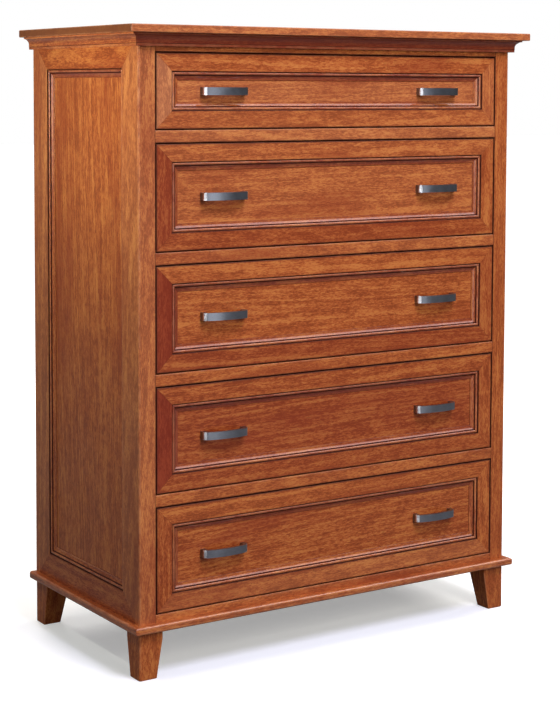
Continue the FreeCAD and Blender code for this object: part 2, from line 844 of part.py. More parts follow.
def pull_screw(name, x, z, panel_face):
    """A screw from inside the box into a pull's leg; its head bears on the box front."""
    body = new_body(name)
    grip = box_front + size("box_thick") - panel_face
    shank = size("screw_radius")
    head = size("screw_head_radius")
    tip = -size("screw_bite")
    sketch = sketch_on(body, name + "_outline", "XY_Plane")
    corners = [
        (ZERO, tip),
        (shank, tip),
        (shank, grip),
        (head, grip),
        (head, grip + size("screw_head_height") / 2),
        (head / 2, grip + size("screw_head_height")),
        (ZERO, grip + size("screw_head_height")),
    ]
    draw_outline(sketch, corners)
    turned = body.newObject("PartDesign::Revolution", name + "_turned")
    turned.Profile = (sketch, [""])
    turned.ReferenceAxis = (sketch, ["V_Axis"])
    turned.Angle = 360
    place(body, x, panel_face, z)
    return body


def drawer(number):
    name = "drawer_%d" % number
    low, high = openings[number]
    small = number == 1
    front_height = size("small_front_height") if small else size("big_front_height")
    box_height = high - low - size("box_rise") - size("box_top_gap")
    tails = SMALL_BOX_TAILS if small else BIG_BOX_TAILS
    front_low = low + size("front_gap")
    centre_z = front_low + front_height / 2
    member = size("front_member_width")
    panel_face = front_face + size("front_recess")

    corners = frame_outline(member, size("front_thick"), size("front_recess"), size("rail_ease"))
    group(name + "_frame", upright_frame(name + "_frame_member", corners, {}, member, front_width,
                                         front_height, ZERO, box_front, front_low, 0))

    panel = new_body(name + "_panel")
    sketch = sketch_on(panel, name + "_panel_outline", "XZ_Plane")
    lap = member - size("panel_lap")
    draw_outline(sketch, rectangle(-front_width / 2 + lap, front_width / 2 - lap,
                                   front_low + lap, front_low + front_height - lap))
    for across in pull_places():
        draw_circle(sketch, across, centre_z, size("screw_radius") + size("screw_hole_play"))
    pad(panel, sketch, size("front_thick") - size("front_recess"), backwards=True)
    place(panel, ZERO, panel_face, ZERO)
    keep(panel)

    corners, arcs = panel_moulding_outline(size("front_recess"))
    group(name + "_moulding", upright_frame(name + "_moulding_stick", corners, arcs, size("moulding_width"),
                                            front_width - member * 2, front_height - member * 2,
                                            ZERO, panel_face, front_low + member, 0))

    box_low = low + size("box_rise")
    floor_top = size("groove_rise") + size("drawer_bottom_thick")
    group(name + "_box", [
        box_side(name + "_left_board", -1, box_low, box_height, tails),
        box_side(name + "_right_board", 1, box_low, box_height, tails),
        box_end(name + "_front_board", box_low, ZERO, box_height, tails, True, centre_z - box_low),
        box_end(name + "_back_board", box_low, floor_top, box_height, tails, False),
    ])
    floor_half = box_inside + size("groove_depth") - size("bottom_clearance")
    floor_front = box_front + size("box_thick") - size("groove_depth") + size("bottom_clearance")
    keep(board(name + "_bottom", -floor_half, floor_half, floor_front, box_back,
               box_low + size("groove_rise"), box_low + floor_top))

    metal = [
        pull(name + "_left_pull", -pull_centre, centre_z, panel_face),
        pull(name + "_right_pull", pull_centre, centre_z, panel_face),
    ]
    for place_number, across in enumerate(pull_places(), start=1):
        metal.append(pull_screw("%s_screw_%d" % (name, place_number), across, centre_z, panel_face))
    group(name + "_pulls", metal)

    slide_middle = box_low + size("slide_rise")
    for kind, upper in (("slide_runners", runner_outline()), ("slide_middles", middle_outline())):
        group("%s_%s" % (name, kind), [
            slide_member("%s_%s_left" % (name, kind), upper, -1, slide_middle),
            slide_member("%s_%s_right" % (name, kind), upper, 1, slide_middle),
        ])
    return [
        slide_member(name + "_channel_left", channel_outline(), -1, slide_middle),
        slide_member(name + "_channel_right", channel_outline(), 1, slide_middle),
    ]


# The whole chest

top_board()
crown_moulding()
base_moulding()
side("left", -half_width, -side_inside, -90)
side("right", half_width, side_inside, 90)
face_frame()
case_inside()
foot("front_left_foot", -half_width, front_face, 0)
foot("front_right_foot", half_width, front_face, 90)
foot("back_right_foot", half_width, back_face, 180)
foot("back_left_foot", -half_width, back_face, -90)
channels = []
for drawer_number in openings:
    channels.extend(drawer(drawer_number))
group("slide_channels", channels)
document.recompute()

for item in document.Objects:
    for state in item.State:
        if state in ("Invalid", "Error"):
            raise RuntimeError("%s is %s" % (item.Label, state))
for item in subparts:
    if item.Shape.isNull() or not item.Shape.isValid():
        raise RuntimeError("%s has no valid shape" % item.Label)

os.makedirs("parts", exist_ok=True)
for item in subparts:
    item.Shape.exportStep(os.path.join("parts", item.Label + ".step"))
    print("%-26s %2d solids %12.0f mm3" % (item.Label, len(item.Shape.Solids), item.Shape.Volume))
print(len(subparts), "sub-parts")
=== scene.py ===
import math
import random

import bmesh
import bpy
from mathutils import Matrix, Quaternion, Vector


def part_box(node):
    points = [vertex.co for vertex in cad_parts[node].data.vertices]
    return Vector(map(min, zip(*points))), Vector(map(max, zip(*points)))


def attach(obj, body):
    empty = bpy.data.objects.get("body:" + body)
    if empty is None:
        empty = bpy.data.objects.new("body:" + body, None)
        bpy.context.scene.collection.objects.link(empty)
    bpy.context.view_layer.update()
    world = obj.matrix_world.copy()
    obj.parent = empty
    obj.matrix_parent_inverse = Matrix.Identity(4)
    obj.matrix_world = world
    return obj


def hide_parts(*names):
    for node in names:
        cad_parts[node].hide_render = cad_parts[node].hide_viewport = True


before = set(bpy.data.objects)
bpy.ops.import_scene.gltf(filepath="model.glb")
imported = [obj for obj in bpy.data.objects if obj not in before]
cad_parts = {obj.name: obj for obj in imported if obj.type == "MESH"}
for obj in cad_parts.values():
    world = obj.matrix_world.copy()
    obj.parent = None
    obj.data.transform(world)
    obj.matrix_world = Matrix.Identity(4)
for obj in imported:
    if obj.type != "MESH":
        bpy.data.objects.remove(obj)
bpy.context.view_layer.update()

X_AXIS = Vector((1, 0, 0))
Y_AXIS = Vector((0, 1, 0))
Z_AXIS = Vector((0, 0, 1))
AXES = (0, 1, 2)
LEFT, RIGHT = -1, 1
FRONT, BACK = 1, -1
MM = 0.001
DRAWERS = (1, 2, 3, 4, 5)

# Case faces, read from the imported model

STILES_LOW, STILES_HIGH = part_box("face_frame_stiles")
CASE_HALF = STILES_HIGH.x
CASE_FRONT = STILES_LOW.y
CASE_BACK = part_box("left_side_frame")[1].y
CASE_LOW = STILES_LOW.z
CASE_HIGH = STILES_HIGH.z
OPENING_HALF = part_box("face_frame_rails")[1].x

# Joiner's sizes

FRAME_THICK = 20 * MM
FRONT_MEMBER = 36.5 * MM
SIDE_MEMBER = 70 * MM
PANEL_RECESS = 10 * MM
PANEL_LAP = 8 * MM
DRAWER_GAP = 2 * MM
BOX_BOARD = 12.7 * MM
LONG_BOARD = 300 * MM
BACK_SET_IN = 0.4 * MM

# Eases of edges, and how far the marks of wear and glaze, with their painted highlight and shade, and seams
# reach from them

TOP_EASE = 2.2 * MM
CORNER_EASE = 3.0 * MM
RAIL_EASE = 1.8 * MM
EDGE_EASE = 1.6 * MM
FOOT_EASE = 1.5 * MM
BLOCK_EASE = 0.6 * MM
FINE_EASE = 0.5 * MM
BOTTOM_EASE = 0.4 * MM
BOX_EASE = 0.35 * MM
SLIDE_EASE = 0.2 * MM
MARKS_FADE = 2.5 * MM
SEAM_FADE = 1.1 * MM
FLAT_SHARE = 0.45
GAP_FADE = 0.45
SAME_PLACE = 0.001 * MM

# A foot: its width at the top and at the sole, the height where its taper starts, and at each level
# the height, the inset all round, the wear with its painted highlight, and the dark glaze with its painted
# shade under the base band

FOOT_TOP = 54 * MM
FOOT_SOLE = 40 * MM
FOOT_KNEE = 81 * MM
FOOT_LEVELS = (
    (0, 1.4 * MM, 1, 0), (0.6 * MM, 0.4 * MM, 1, 0), (1.6 * MM, 0, 0.6, 0), (5 * MM, 0, 0, 0),
    (FOOT_KNEE - 3 * MM, 0, 0, 0), (FOOT_KNEE, 0, 0.3, 0), (FOOT_KNEE + 3 * MM, 0, 0, 0),
    (CASE_LOW - 4 * MM, 0, 0, 0), (CASE_LOW, 0, 0, 1),
)

# A strap pull, its screws and the nails of the back; heads are given as radius and height

PULL_HALF = 53 * MM
PULL_INNER_HALF = 43 * MM
PULL_STAND = 26 * MM
PULL_SAG = 8 * MM
PULL_INNER_SAG = 7 * MM
PULL_THICK = 5 * MM
PULL_TURN = 8 * MM
PULL_HALF_HEIGHT = 8 * MM
PULL_EASE = 1.1 * MM
SCREW_PLACE = 48 * MM
SCREW_SHANK = 1.95 * MM
SCREW_DEPTH = 9 * MM
SCREW_HEAD = ((4.2, 0), (4.2, 0.9), (3.6, 1.7), (2.4, 2.3), (1.2, 2.4))
NAIL_INSET = 10 * MM
NAIL_SPACING = 150 * MM
NAIL_HEAD = ((2.4, -0.9), (2.4, 0.0), (1.8, 0.12), (0.96, 0.18))

# Tone of each board, from -1 deep red to 1 pale; frames in the order top, bottom, left, right, panel

# Drawer tones differ from board to board and also paint the light: high drawers paler, low ones deeper red,
# and the first drawer's top member darker as painted shade under the top board.
DRAWER_TONES_AND_PAINTED_LIGHT = {
    1: (-0.12, 0.14, 0.42, 0.20, 0.24),
    2: (0.14, -0.36, -0.60, -0.20, 0.16),
    3: (0.02, -0.45, -0.85, -0.40, -0.12),
    4: (-0.30, -0.40, -0.95, -0.25, -0.45),
    5: (0.04, 0.22, -0.30, -0.06, -0.22),
}
# Beading is darker than its frame, and its top strip, whose cove faces down, darkest: painted shade.
BEADING_SHARE = 0.4
BEADING_PAINTED_SHADE = (-0.60, -0.25, -0.35, -0.15)
# The side's top and bottom members are darkened as painted shade, under the crown and low down; the top
# strip of its beading darkest of all, also painted shade.
SIDE_TONES_AND_PAINTED_SHADE = (-0.12, -0.30, 0.26, 0.28, 0.10)
SIDE_BEADING_TONES_AND_PAINTED_SHADE = (-0.6, -0.2, -0.1, -0.1)
STILE_TONES = (0.24, 0.04)
RAIL_TONES = (0.14, 0.12, 0.08, 0.16, 0.24, 0.10)
TOP_TONE = 0.26
# The crown's front is darkened as painted shade under the top board.
CROWN_TONES_AND_PAINTED_SHADE = (-0.8, -0.2, -0.2)
BASE_TONES = (0.08, 0.0, 0.0)
FOOT_TONE = 0.08
BOX_TONES = (0.1, -0.05, 0.2, -0.15)

draw = random.Random(11)


# Sections: corners as across, out and radius become points that also know their edge wear, which also
# paints a highlight, and their dark glaze, which also paints shade

def eased_section(corners, steps=4):
    """
    Rounds every corner that has a radius; outer corners get wear that also paints a highlight, and inner
    corners dark glaze that also paints their shade.
    A corner without a radius may carry that glaze and painted shade as its fourth value, for a flank that
    lies in a gap.
    """
    corners = [(*corner, 0)[:4] for corner in corners]
    following = corners[1:] + corners[:1]
    area = sum(here[0] * after[1] - after[0] * here[1] for here, after in zip(corners, following))
    turn = 1 if area > 0 else -1
    points = []
    for index, (across, out, radius, glaze_and_shade) in enumerate(corners):
        here = Vector((across, out))
        if not radius:
            points.append((*here, 0, glaze_and_shade))
            continue
        before_glaze_and_shade, after_glaze_and_shade = corners[index - 1][3], following[index][3]
        before = Vector(corners[index - 1][:2]) - here
        after = Vector(following[index][:2]) - here
        room_before, room_after = before.length, after.length
        before.normalize()
        after.normalize()
        crossing = (before.x * after.y - before.y * after.x) * turn
        worn_and_highlit, in_glaze_and_shade = (1, 0) if crossing < 0 else (0, 1)
        half_angle = before.angle(after) / 2
        setback = radius / math.tan(half_angle)
        fade_before = min(setback + MARKS_FADE, room_before * FLAT_SHARE)
        fade_after = min(setback + MARKS_FADE, room_after * FLAT_SHARE)
        points.append((*(here + before * fade_before), 0, before_glaze_and_shade))
        centre = here + (before + after).normalized() * (radius / math.sin(half_angle))
        start = here + before * setback - centre
        end = here + after * setback - centre
        for step in range(steps + 1):
            share = step / steps
            spoke = start.lerp(end, share).normalized() * radius
            near_gap = max(before_glaze_and_shade * (1 - share * GAP_FADE),
                           after_glaze_and_shade * (1 - (1 - share) * GAP_FADE), in_glaze_and_shade)
            points.append((*(centre + spoke), worn_and_highlit * (1 - near_gap), near_gap))
        points.append((*(here + after * fade_after), 0, after_glaze_and_shade))
    return points


def arc_points(start, end, radius, side, steps, wear_and_highlight, glaze_and_shade):
    """Points after start and up to end on an arc; side 1 bulges to the left of the way, -1 to the right."""
    start, end = Vector(start), Vector(end)
    chord = end - start
    normal = Vector((-chord.y, chord.x)).normalized()
    drop = math.sqrt(max(radius ** 2 - chord.length_squared / 4, 0))
    centre = (start + end) / 2 - normal * drop * side
    points = []
    for step in range(1, steps + 1):
        spoke = (start - centre).lerp(end - centre, step / steps).normalized() * radius
        points.append((*(centre + spoke), wear_and_highlight, glaze_and_shade))
    return points


def from_millimetres(rows):
    """A section's points, with their two lengths turned from millimetres to metres."""
    return [(across * MM, out * MM, wear_and_highlight, glaze_and_shade) for across, out, wear_and_highlight, glaze_and_shade in rows]


def crown_section():
    """Bead, neck, cove and fillet under the top board; out from the case, up from the crown's foot."""
    # The bead and the fillet get the rubbed colour, which also paints their highlight; the neck and the
    # cove carry dark glaze, which paints the shade under the bead and the top board.
    bead = [(9.6, 0, 0, 0.7)] + arc_points((9.6, 0), (9.6, 4.8), 2.4, -1, 8, 0.6, 0)
    neck = [(9.7, 5.0, 0, 1), (10, 5.3, 0, 0.9), (10, 6.6, 0, 0.1), (10, 11.8, 0, 0.1)]
    cove = arc_points((10, 11.8), (20, 22.8), 13.2, 1, 10, 0, 0.35)
    fillet = [(21.6, 22.8, 0.4, 0), (22, 23.2, 1, 0), (22, 25.6, 0.2, 0), (21.8, 26, 0, 0.9)]
    return from_millimetres([(0, 0, 0, 0)] + bead + neck + cove + fillet + [(0, 26, 0, 0)])


def base_section():
    """The round edged band between the case and its feet."""
    size, radius = 16 * MM, 4.5 * MM
    return eased_section([(0, 0, 0), (size, 0, radius), (size, size, radius), (0, size, 0)], steps=7)


def panel_moulding_section():
    """Quirk, bead, step, cove and lip; across from the frame to the panel, out from the panel's face."""
    # The quirk, the groove by the bead, the cove and the line at the panel carry dark glaze, which paints
    # their shade; the bead and the lip get the rubbed colour, which also paints their highlight.
    rows = [(0, 0, 0, 0), (0, 7.4, 0, 1), (0.3, 6.9, 0, 1), (1.2, 6.6, 0, 1), (1.5, 7.0, 0, 0.9)]
    rows += arc_points((1.5, 7.0), (6.5, 7.0), 2.7, 1, 10, 0.7, 0)
    rows += [(6.7, 6.0, 0, 1), (7.0, 4.7, 0, 1), (8.5, 4.6, 0, 1), (8.8, 5.0, 0, 0.7)]
    rows += arc_points((8.8, 5.0), (17.1, 1.5), 13, -1, 8, 0, 0.2)
    rows += [(17.4, 1.2, 0.5, 0), (17.5, 0.6, 0, 0.7), (17.8, 0.2, 0, 1), (17.8, 0, 0, 1)]
    return from_millimetres(rows)


def frame_section(width, edge_glaze_and_shade=0):
    """A frame member: across from its outer edge, out from its back, rebated for the panel."""
    lap = width - PANEL_LAP
    shelf = FRAME_THICK - PANEL_RECESS
    # The rebate's inner corner, and the outer edge of a drawer frame by the gap, carry dark glaze that
    # paints their shade; the eased front edges get the rubbed colour, which also paints a highlight.
    return eased_section([
        (0, 0, 0, edge_glaze_and_shade),
        (lap, 0, 0),
        (lap, shelf, 0),
        (width, shelf, 0, 1),
        (width, FRAME_THICK, FINE_EASE),
        (0, FRAME_THICK, EDGE_EASE),
    ])


def corner_member_section(width, rebated):
    """A member that meets its neighbour along a bevel at the case's corner, rounded off together."""
    start = CORNER_EASE * (1 - math.sqrt(0.5))
    inner = [(width, FRAME_THICK, FINE_EASE)]
    if rebated:
        shelf = FRAME_THICK - PANEL_RECESS
        inner = [(width - PANEL_LAP, 0, 0), (width - PANEL_LAP, shelf, 0), (width, shelf, 0)] + inner
    else:
        # Without a rebate, the flank at the drawer opening carries dark glaze that paints the shade of the
        # gap.
        inner = [(width, 0, 0, 1)] + inner
    outline = eased_section([(FRAME_THICK, 0, 0)] + inner + [(CORNER_EASE, FRAME_THICK, 0)])
    # The rounding at the case's corner gets the rubbed colour along its whole arc: a painted highlight.
    face = outline.pop()
    outline.append((face[0] + MARKS_FADE, face[1], 0, 0))
    outline.append((face[0], face[1], 0.8, 0))
    outline += arc_points((CORNER_EASE, FRAME_THICK), (start, FRAME_THICK - start), CORNER_EASE, 1, 3, 1, 0)
    return outline


# Boards: every face corner carries its board's grain, tone and marks for the materials

MITRED = (1, -1)
SQUARE = (0, 0)
FLAT_ANGLE = math.radians(1)
PLATE_ANGLE = math.radians(30)
EASED_ANGLE = math.radians(40)

# How squarely a face has to look along an axis

END_FACING = 0.8
SIDEWAYS = 0.9
TURNED_SIDEWAYS = 0.36
TURNED_FORWARD = 0.15


def new_object(name, data):
    """A new object in the scene."""
    made = bpy.data.objects.new(name, data)
    bpy.context.collection.objects.link(made)
    return made


def quads_between(first, second):
    """The corners of each face between two closed rings of points."""
    starts = zip(first, first[1:] + first[:1])
    ends = zip(second, second[1:] + second[:1])
    for (start, next_start), (end, next_end) in zip(starts, ends):
        yield start, next_start, next_end, end


class Joinery:
    """One piece of joinery in the making, as many boards in one mesh."""

    def __init__(self):
        self.mesh = bmesh.new()
        corners = self.mesh.loops.layers
        self.grain = corners.float_vector.new("grain")
        self.board = corners.float_vector.new("board")
        self.marks = corners.float_vector.new("marks")

    def face(self, corners, board):
        """A face whose corners know where they are in their board, which board it is, and its wear and
        glaze, which also paint its highlight and shade.
        """
        made = self.mesh.faces.new([point for point, _, _ in corners])
        for loop, (_, grain, marks) in zip(made.loops, corners):
            loop[self.grain] = grain
            loop[self.board] = board
            loop[self.marks] = marks

    def skin(self, rings, tone, seed):
        """Faces round rings of points that know their grain and marks, with end grain on both ends."""
        for first, second in zip(rings, rings[1:]):
            for corners in quads_between(first, second):
                self.face(corners, (tone, seed, 0))
        for ring in (rings[0], rings[-1]):
            self.face(ring, (tone, seed, 1))

    def stick(self, section, origin, along, across, out, start, end, cuts, tone, seams=(1, 1)):
        """
        A stick with the given section between start and end, measured from origin along its run.
        Each cut says how far the end moves on for every unit across, so 1 is a mitre.
        A seam of 1 draws the fine line where that end meets another board.
        """
        seed = draw.random()
        middle = Vector((0, sum(row[0] for row in section) / len(section), 0))
        rings = []
        for which, offset in ((0, 0), (0, SEAM_FADE), (1, SEAM_FADE), (1, 0)):
            edge, way = ((start, 1), (end, -1))[which]
            seam = 0 if offset else seams[which]
            ring = []
            for u, v, wear_and_highlight, glaze_and_shade in section:
                run = edge + cuts[which] * u + offset * way
                point = self.mesh.verts.new(origin + along * run + across * u + out * v)
                ring.append((point, Vector((run, u, v)) - middle, (wear_and_highlight, glaze_and_shade, seam)))
            rings.append(ring)
        self.skin(rings, tone, seed)

    def four_sided_frame(self, sections, centre, ways, edges, tones):
        """
        Four mitred sticks round a rectangle, in the order top, bottom, left and right.
        The ways are across, up and out; the edges are the rectangle's low, high, left and right.
        """
        across, up, out = ways
        low, high, left, right = edges
        runs = (
            (across, -up, up * high, left, right),
            (across, up, up * low, left, right),
            (up, across, across * left, low, high),
            (up, -across, across * right, low, high),
        )
        for section, (along, inward, edge, start, end), tone in zip(sections, runs, tones):
            self.stick(section, centre + edge, along, inward, out, start, end, MITRED, tone)

    def turned(self, x, z, profile, steps, middle_y):
        """A turned piece of metal along Y, from rows of radius and y."""
        rings = []
        for radius, y in profile:
            turns = [math.tau * step / steps for step in range(steps)]
            rings.append([self.mesh.verts.new((x + math.cos(turn) * radius, y, z + math.sin(turn) * radius))
                          for turn in turns])
        faces = [self.mesh.faces.new(rings[0]), self.mesh.faces.new(rings[-1])]
        for first, second in zip(rings, rings[1:]):
            faces += [self.mesh.faces.new(corners) for corners in quads_between(first, second)]
        self.mark_board(faces, (), 1, Vector((x, middle_y, z)), 0, draw.random())

    def mark_board(self, faces, worn_and_highlit, along, middle, tone, seed):
        """Writes grain, board and marks on faces that were made or copied without them."""
        order = [along] + [axis for axis in AXES if axis != along]
        for face in faces:
            face.normal_update()
            end_grain = 1 if abs(face.normal[along]) > END_FACING else 0
            marks = (1, 0, 0) if face in worn_and_highlit else (0, 0, 0)
            for loop in face.loops:
                place = loop.vert.co - middle
                loop[self.grain] = Vector([place[axis] for axis in order])
                loop[self.board] = (tone, seed, end_grain)
                loop[self.marks] = marks

    def round_edges(self, edges, ease, steps):
        """Rounds some edges; gives the new narrow faces, and those with every face beside them."""
        made = bmesh.ops.bevel(self.mesh, geom=edges, offset=ease, segments=steps, profile=0.5,
                               affect="EDGES", clamp_overlap=True)
        narrow = set(made["faces"])
        return narrow, narrow.union(*(vert.link_faces for vert in made["verts"]))

    def ease_sharp_edges(self, ease, shortest=0.0):
        """Takes the sharpness off the edges, and marks the new narrow faces as worn, which also paints a
        highlight on them.
        """
        sharp = [edge for edge in self.mesh.edges if len(edge.link_faces) == 2
                 and edge.calc_face_angle(0) > EASED_ANGLE and edge.calc_length() >= shortest]
        for face in self.round_edges(sharp, ease, 1)[0]:
            for loop in face.loops:
                loop[self.marks] = (1, 0, 0)

    def finish(self, name, body, look, nodes, shaded_sharp=32):
        """Makes the object with its look, rides it on its body and puts it in place of its nodes."""
        slot, material = look
        bmesh.ops.recalc_face_normals(self.mesh, faces=self.mesh.faces)
        data = bpy.data.meshes.new(name)
        self.mesh.to_mesh(data)
        self.mesh.free()
        data.materials.append(material)
        data.shade_smooth()
        data.set_sharp_from_angle(angle=math.radians(shaded_sharp))
        piece = new_object(name, data)
        weighted = piece.modifiers.new("even_shading", "WEIGHTED_NORMAL")
        weighted.keep_sharp = True
        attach(piece, body)
        if nodes:
            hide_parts(*nodes)
        return piece


def copied_node(node):
    """Joinery that starts from a copy of a node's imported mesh."""
    piece = Joinery()
    piece.mesh.from_mesh(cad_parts[node].data)
    return piece


def joined_flat(mesh, **limits):
    """Joins points that touch, and the faces of every flat side."""
    bmesh.ops.remove_doubles(mesh, verts=mesh.verts, dist=SAME_PLACE)
    bmesh.ops.dissolve_limit(mesh, angle_limit=FLAT_ANGLE, verts=mesh.verts, edges=mesh.edges, **limits)


def islands(mesh):
    """The separate parts of a mesh, each as a set of faces."""
    left = set(mesh.faces)
    found = []
    while left:
        part = {left.pop()}
        waiting = list(part)
        while waiting:
            for edge in waiting.pop().edges:
                for neighbour in edge.link_faces:
                    if neighbour not in part:
                        part.add(neighbour)
                        waiting.append(neighbour)
        left -= part
        found.append(part)
    return sorted(found, key=lambda part: min(tuple(face.calc_center_median()) for face in part))


def box_round(faces):
    """The low and high corners of the box round some faces."""
    points = [vert.co for face in faces for vert in face.verts]
    return (Vector([pick(point[axis] for point in points) for axis in AXES]) for pick in (min, max))


def boards_from_node(name, node, body, look, tone=0, ease=0.0, along=None):
    """A copy of a node's solids as boards: grain along the longest side of each, edges eased."""
    piece = copied_node(node)
    joined_flat(piece.mesh)
    for solid in islands(piece.mesh):
        low, high = box_round(solid)
        size = high - low
        longest = along if along is not None else max(AXES, key=lambda axis: size[axis])
        piece.mark_board(solid, (), longest, (low + high) / 2, tone, draw.random())
    if ease:
        piece.ease_sharp_edges(ease)
    return piece.finish(name, body, look, [node])


# Shader nodes

NODES_IN_ROW = 12
NODE_SPACING = (190, 260)


def fill(tree, inputs, values):
    """Gives inputs their values, which may be plain ones or other nodes' sockets."""
    for socket, value in values.items():
        if isinstance(value, bpy.types.NodeSocket):
            tree.links.new(value, inputs[socket])
        else:
            inputs[socket].default_value = value


def add_node(tree, kind, inputs=None, **settings):
    """Adds one node with its inputs and settings."""
    node = tree.nodes.new("ShaderNode" + kind)
    row, column = divmod(len(tree.nodes), NODES_IN_ROW)
    node.location = (column * NODE_SPACING[0], row * -NODE_SPACING[1])
    for setting, value in settings.items():
        setattr(node, setting, value)
    fill(tree, node.inputs, inputs or {})
    return node


def calculate(tree, operation, first, second=0.0, third=0.0):
    """One operation on plain numbers."""
    return add_node(tree, "Math", {0: first, 1: second, 2: third}, operation=operation).outputs[0]


def times(tree, first, second, added=0.0):
    """One number multiplied by another, and a third added."""
    return calculate(tree, "MULTIPLY_ADD", first, second, added)


def calculate_vector(tree, operation, first, second=(0, 0, 0)):
    """One operation on vectors; its outputs are named Vector and Value."""
    return add_node(tree, "VectorMath", {0: first, 1: second}, operation=operation).outputs


def stretch(tree, vector, scale):
    """A vector multiplied part by part."""
    return calculate_vector(tree, "MULTIPLY", vector, scale)["Vector"]


def shift(tree, vector, offset):
    """A vector moved by another."""
    return calculate_vector(tree, "ADD", vector, offset)["Vector"]


def parts(tree, vector):
    """The X, Y and Z of a vector."""
    return add_node(tree, "SeparateXYZ", {0: vector}).outputs


def fade(tree, value, low, high, to_low=0.0, to_high=1.0):
    """A smooth step of a value from low to high."""
    return add_node(tree, "MapRange", {
        "Value": value, "From Min": low, "From Max": high, "To Min": to_low, "To Max": to_high,
    }, interpolation_type="SMOOTHSTEP").outputs["Result"]


def noise(tree, vector, scale=1.0, detail=2.0, roughness=0.5):
    """The outputs of a cloud of noise, named Fac and Color."""
    return add_node(tree, "TexNoise", {
        "Vector": vector, "Scale": scale, "Detail": detail, "Roughness": roughness,
    }).outputs


def mixed(tree, factor, first, second, blend="MIX"):
    """Two colours mixed by a factor."""
    return add_node(tree, "Mix", {0: factor, 6: first, 7: second},
                    data_type="RGBA", blend_type=blend).outputs[2]


def tinted(color, shares):
    """A colour with each of its parts multiplied."""
    return (*(part * share for part, share in zip(color, shares)), 1)


def new_group(name, inputs):
    """An empty node group and its inputs: a number, a colour, or a vector where no value is given."""
    kinds = {type(None): "NodeSocketVector", tuple: "NodeSocketColor", float: "NodeSocketFloat"}
    tree = bpy.data.node_groups.new(name, "ShaderNodeTree")
    for label, value in inputs.items():
        socket = tree.interface.new_socket(label, in_out="INPUT", socket_type=kinds[type(value)])
        if value is not None:
            socket.default_value = value
    return tree, tree.nodes.new("NodeGroupInput").outputs


def close_group(tree, results):
    """Gives a group its outputs, each a colour or a number."""
    for label, socket in results.items():
        kind = "NodeSocketColor" if socket.type == "RGBA" else "NodeSocketFloat"
        tree.interface.new_socket(label, in_out="OUTPUT", socket_type=kind)
    fill(tree, tree.nodes.new("NodeGroupOutput").inputs, results)
    return tree


def use_group(tree, group, inputs):
    """The outputs of a group that is given its inputs."""
    return add_node(tree, "Group", inputs, node_tree=group).outputs


def board_figure_group():
    """Growth rings, fibres, flecks and pin knots of one board, from the place inside that board."""
    inputs = {"Grain": None, "Seed": 0.5, "Ring Width": 0.006, "Waviness": 0.03}
    tree, given = new_group("board_figure", inputs)
    grain, seed = given["Grain"], given["Seed"]
    far_apart = add_node(tree, "CombineXYZ", {
        "X": times(tree, seed, 37.0),
        "Y": times(tree, seed, 91.0),
        "Z": times(tree, seed, 53.0),
    }).outputs[0]

    def own(*scale):
        return shift(tree, stretch(tree, grain, scale), far_apart)

    # The pith runs behind the board, a little askew, and wanders
    wander = noise(tree, own(1.6, 6.0, 6.0), detail=2.0)["Color"]
    wander = calculate_vector(tree, "SUBTRACT", wander, (0.5, 0.5, 0.5))["Vector"]
    wander = add_node(tree, "VectorMath", {0: wander, "Scale": given["Waviness"]},
                      operation="SCALE").outputs["Vector"]
    jagged = noise(tree, own(55.0, 160.0, 160.0), detail=3.0, roughness=0.65)["Color"]
    jagged = stretch(tree, jagged, (0.0, 0.009, 0.009))
    bent = parts(tree, shift(tree, shift(tree, grain, wander), jagged))
    askew = calculate(tree, "FRACT", times(tree, seed, 7.3))
    askew = times(tree, askew, 0.16, -0.08)
    sideways = times(tree, calculate(tree, "SUBTRACT", seed, 0.5), 0.14, bent["Y"])
    depth = times(tree, seed, 0.05, 0.035)
    depth = calculate(tree, "ADD", depth, times(tree, bent["X"], askew, bent["Z"]))
    squared = times(tree, depth, depth)
    radius = calculate(tree, "SQRT", times(tree, sideways, sideways, squared))
    year = calculate(tree, "DIVIDE", radius, given["Ring Width"])
    year = times(tree, seed, 40.0, year)
    rings = add_node(tree, "TexNoise", {
        "W": year, "Scale": 1.0, "Detail": 4.0, "Roughness": 0.62,
    }, noise_dimensions="1D").outputs["Fac"]
    from_line = calculate(tree, "ABSOLUTE", calculate(tree, "SUBTRACT", rings, 0.5))

    dashes = noise(tree, own(95.0, 420.0, 420.0), detail=1.0)["Fac"]
    patches = noise(tree, own(7.0, 14.0, 14.0), detail=1.0)["Fac"]
    cells = add_node(tree, "TexVoronoi", {"Vector": own(2.6, 7.5, 7.5), "Scale": 1.0}).outputs
    chosen = add_node(tree, "SeparateColor", {0: cells["Color"]}).outputs[0]
    return close_group(tree, {
        "Rings": rings,
        "Late Wood": fade(tree, from_line, 0.045, 0.0),
        "Streaks": noise(tree, own(8.0, 120.0, 120.0), detail=3.0, roughness=0.6)["Fac"],
        "Fibres": noise(tree, own(95.0, 420.0, 420.0), detail=3.0, roughness=0.75)["Fac"],
        "Mottle": noise(tree, own(20.0, 55.0, 55.0), detail=4.0, roughness=0.6)["Fac"],
        "Flecks": times(tree, fade(tree, dashes, 0.655, 0.75), fade(tree, patches, 0.42, 0.62)),
        "Knots": times(tree, fade(tree, cells["Distance"], 0.055, 0.015), fade(tree, chosen, 0.80, 0.83)),
        "Clouds": noise(tree, own(3.2, 15.0, 15.0), detail=2.0)["Fac"],
    })


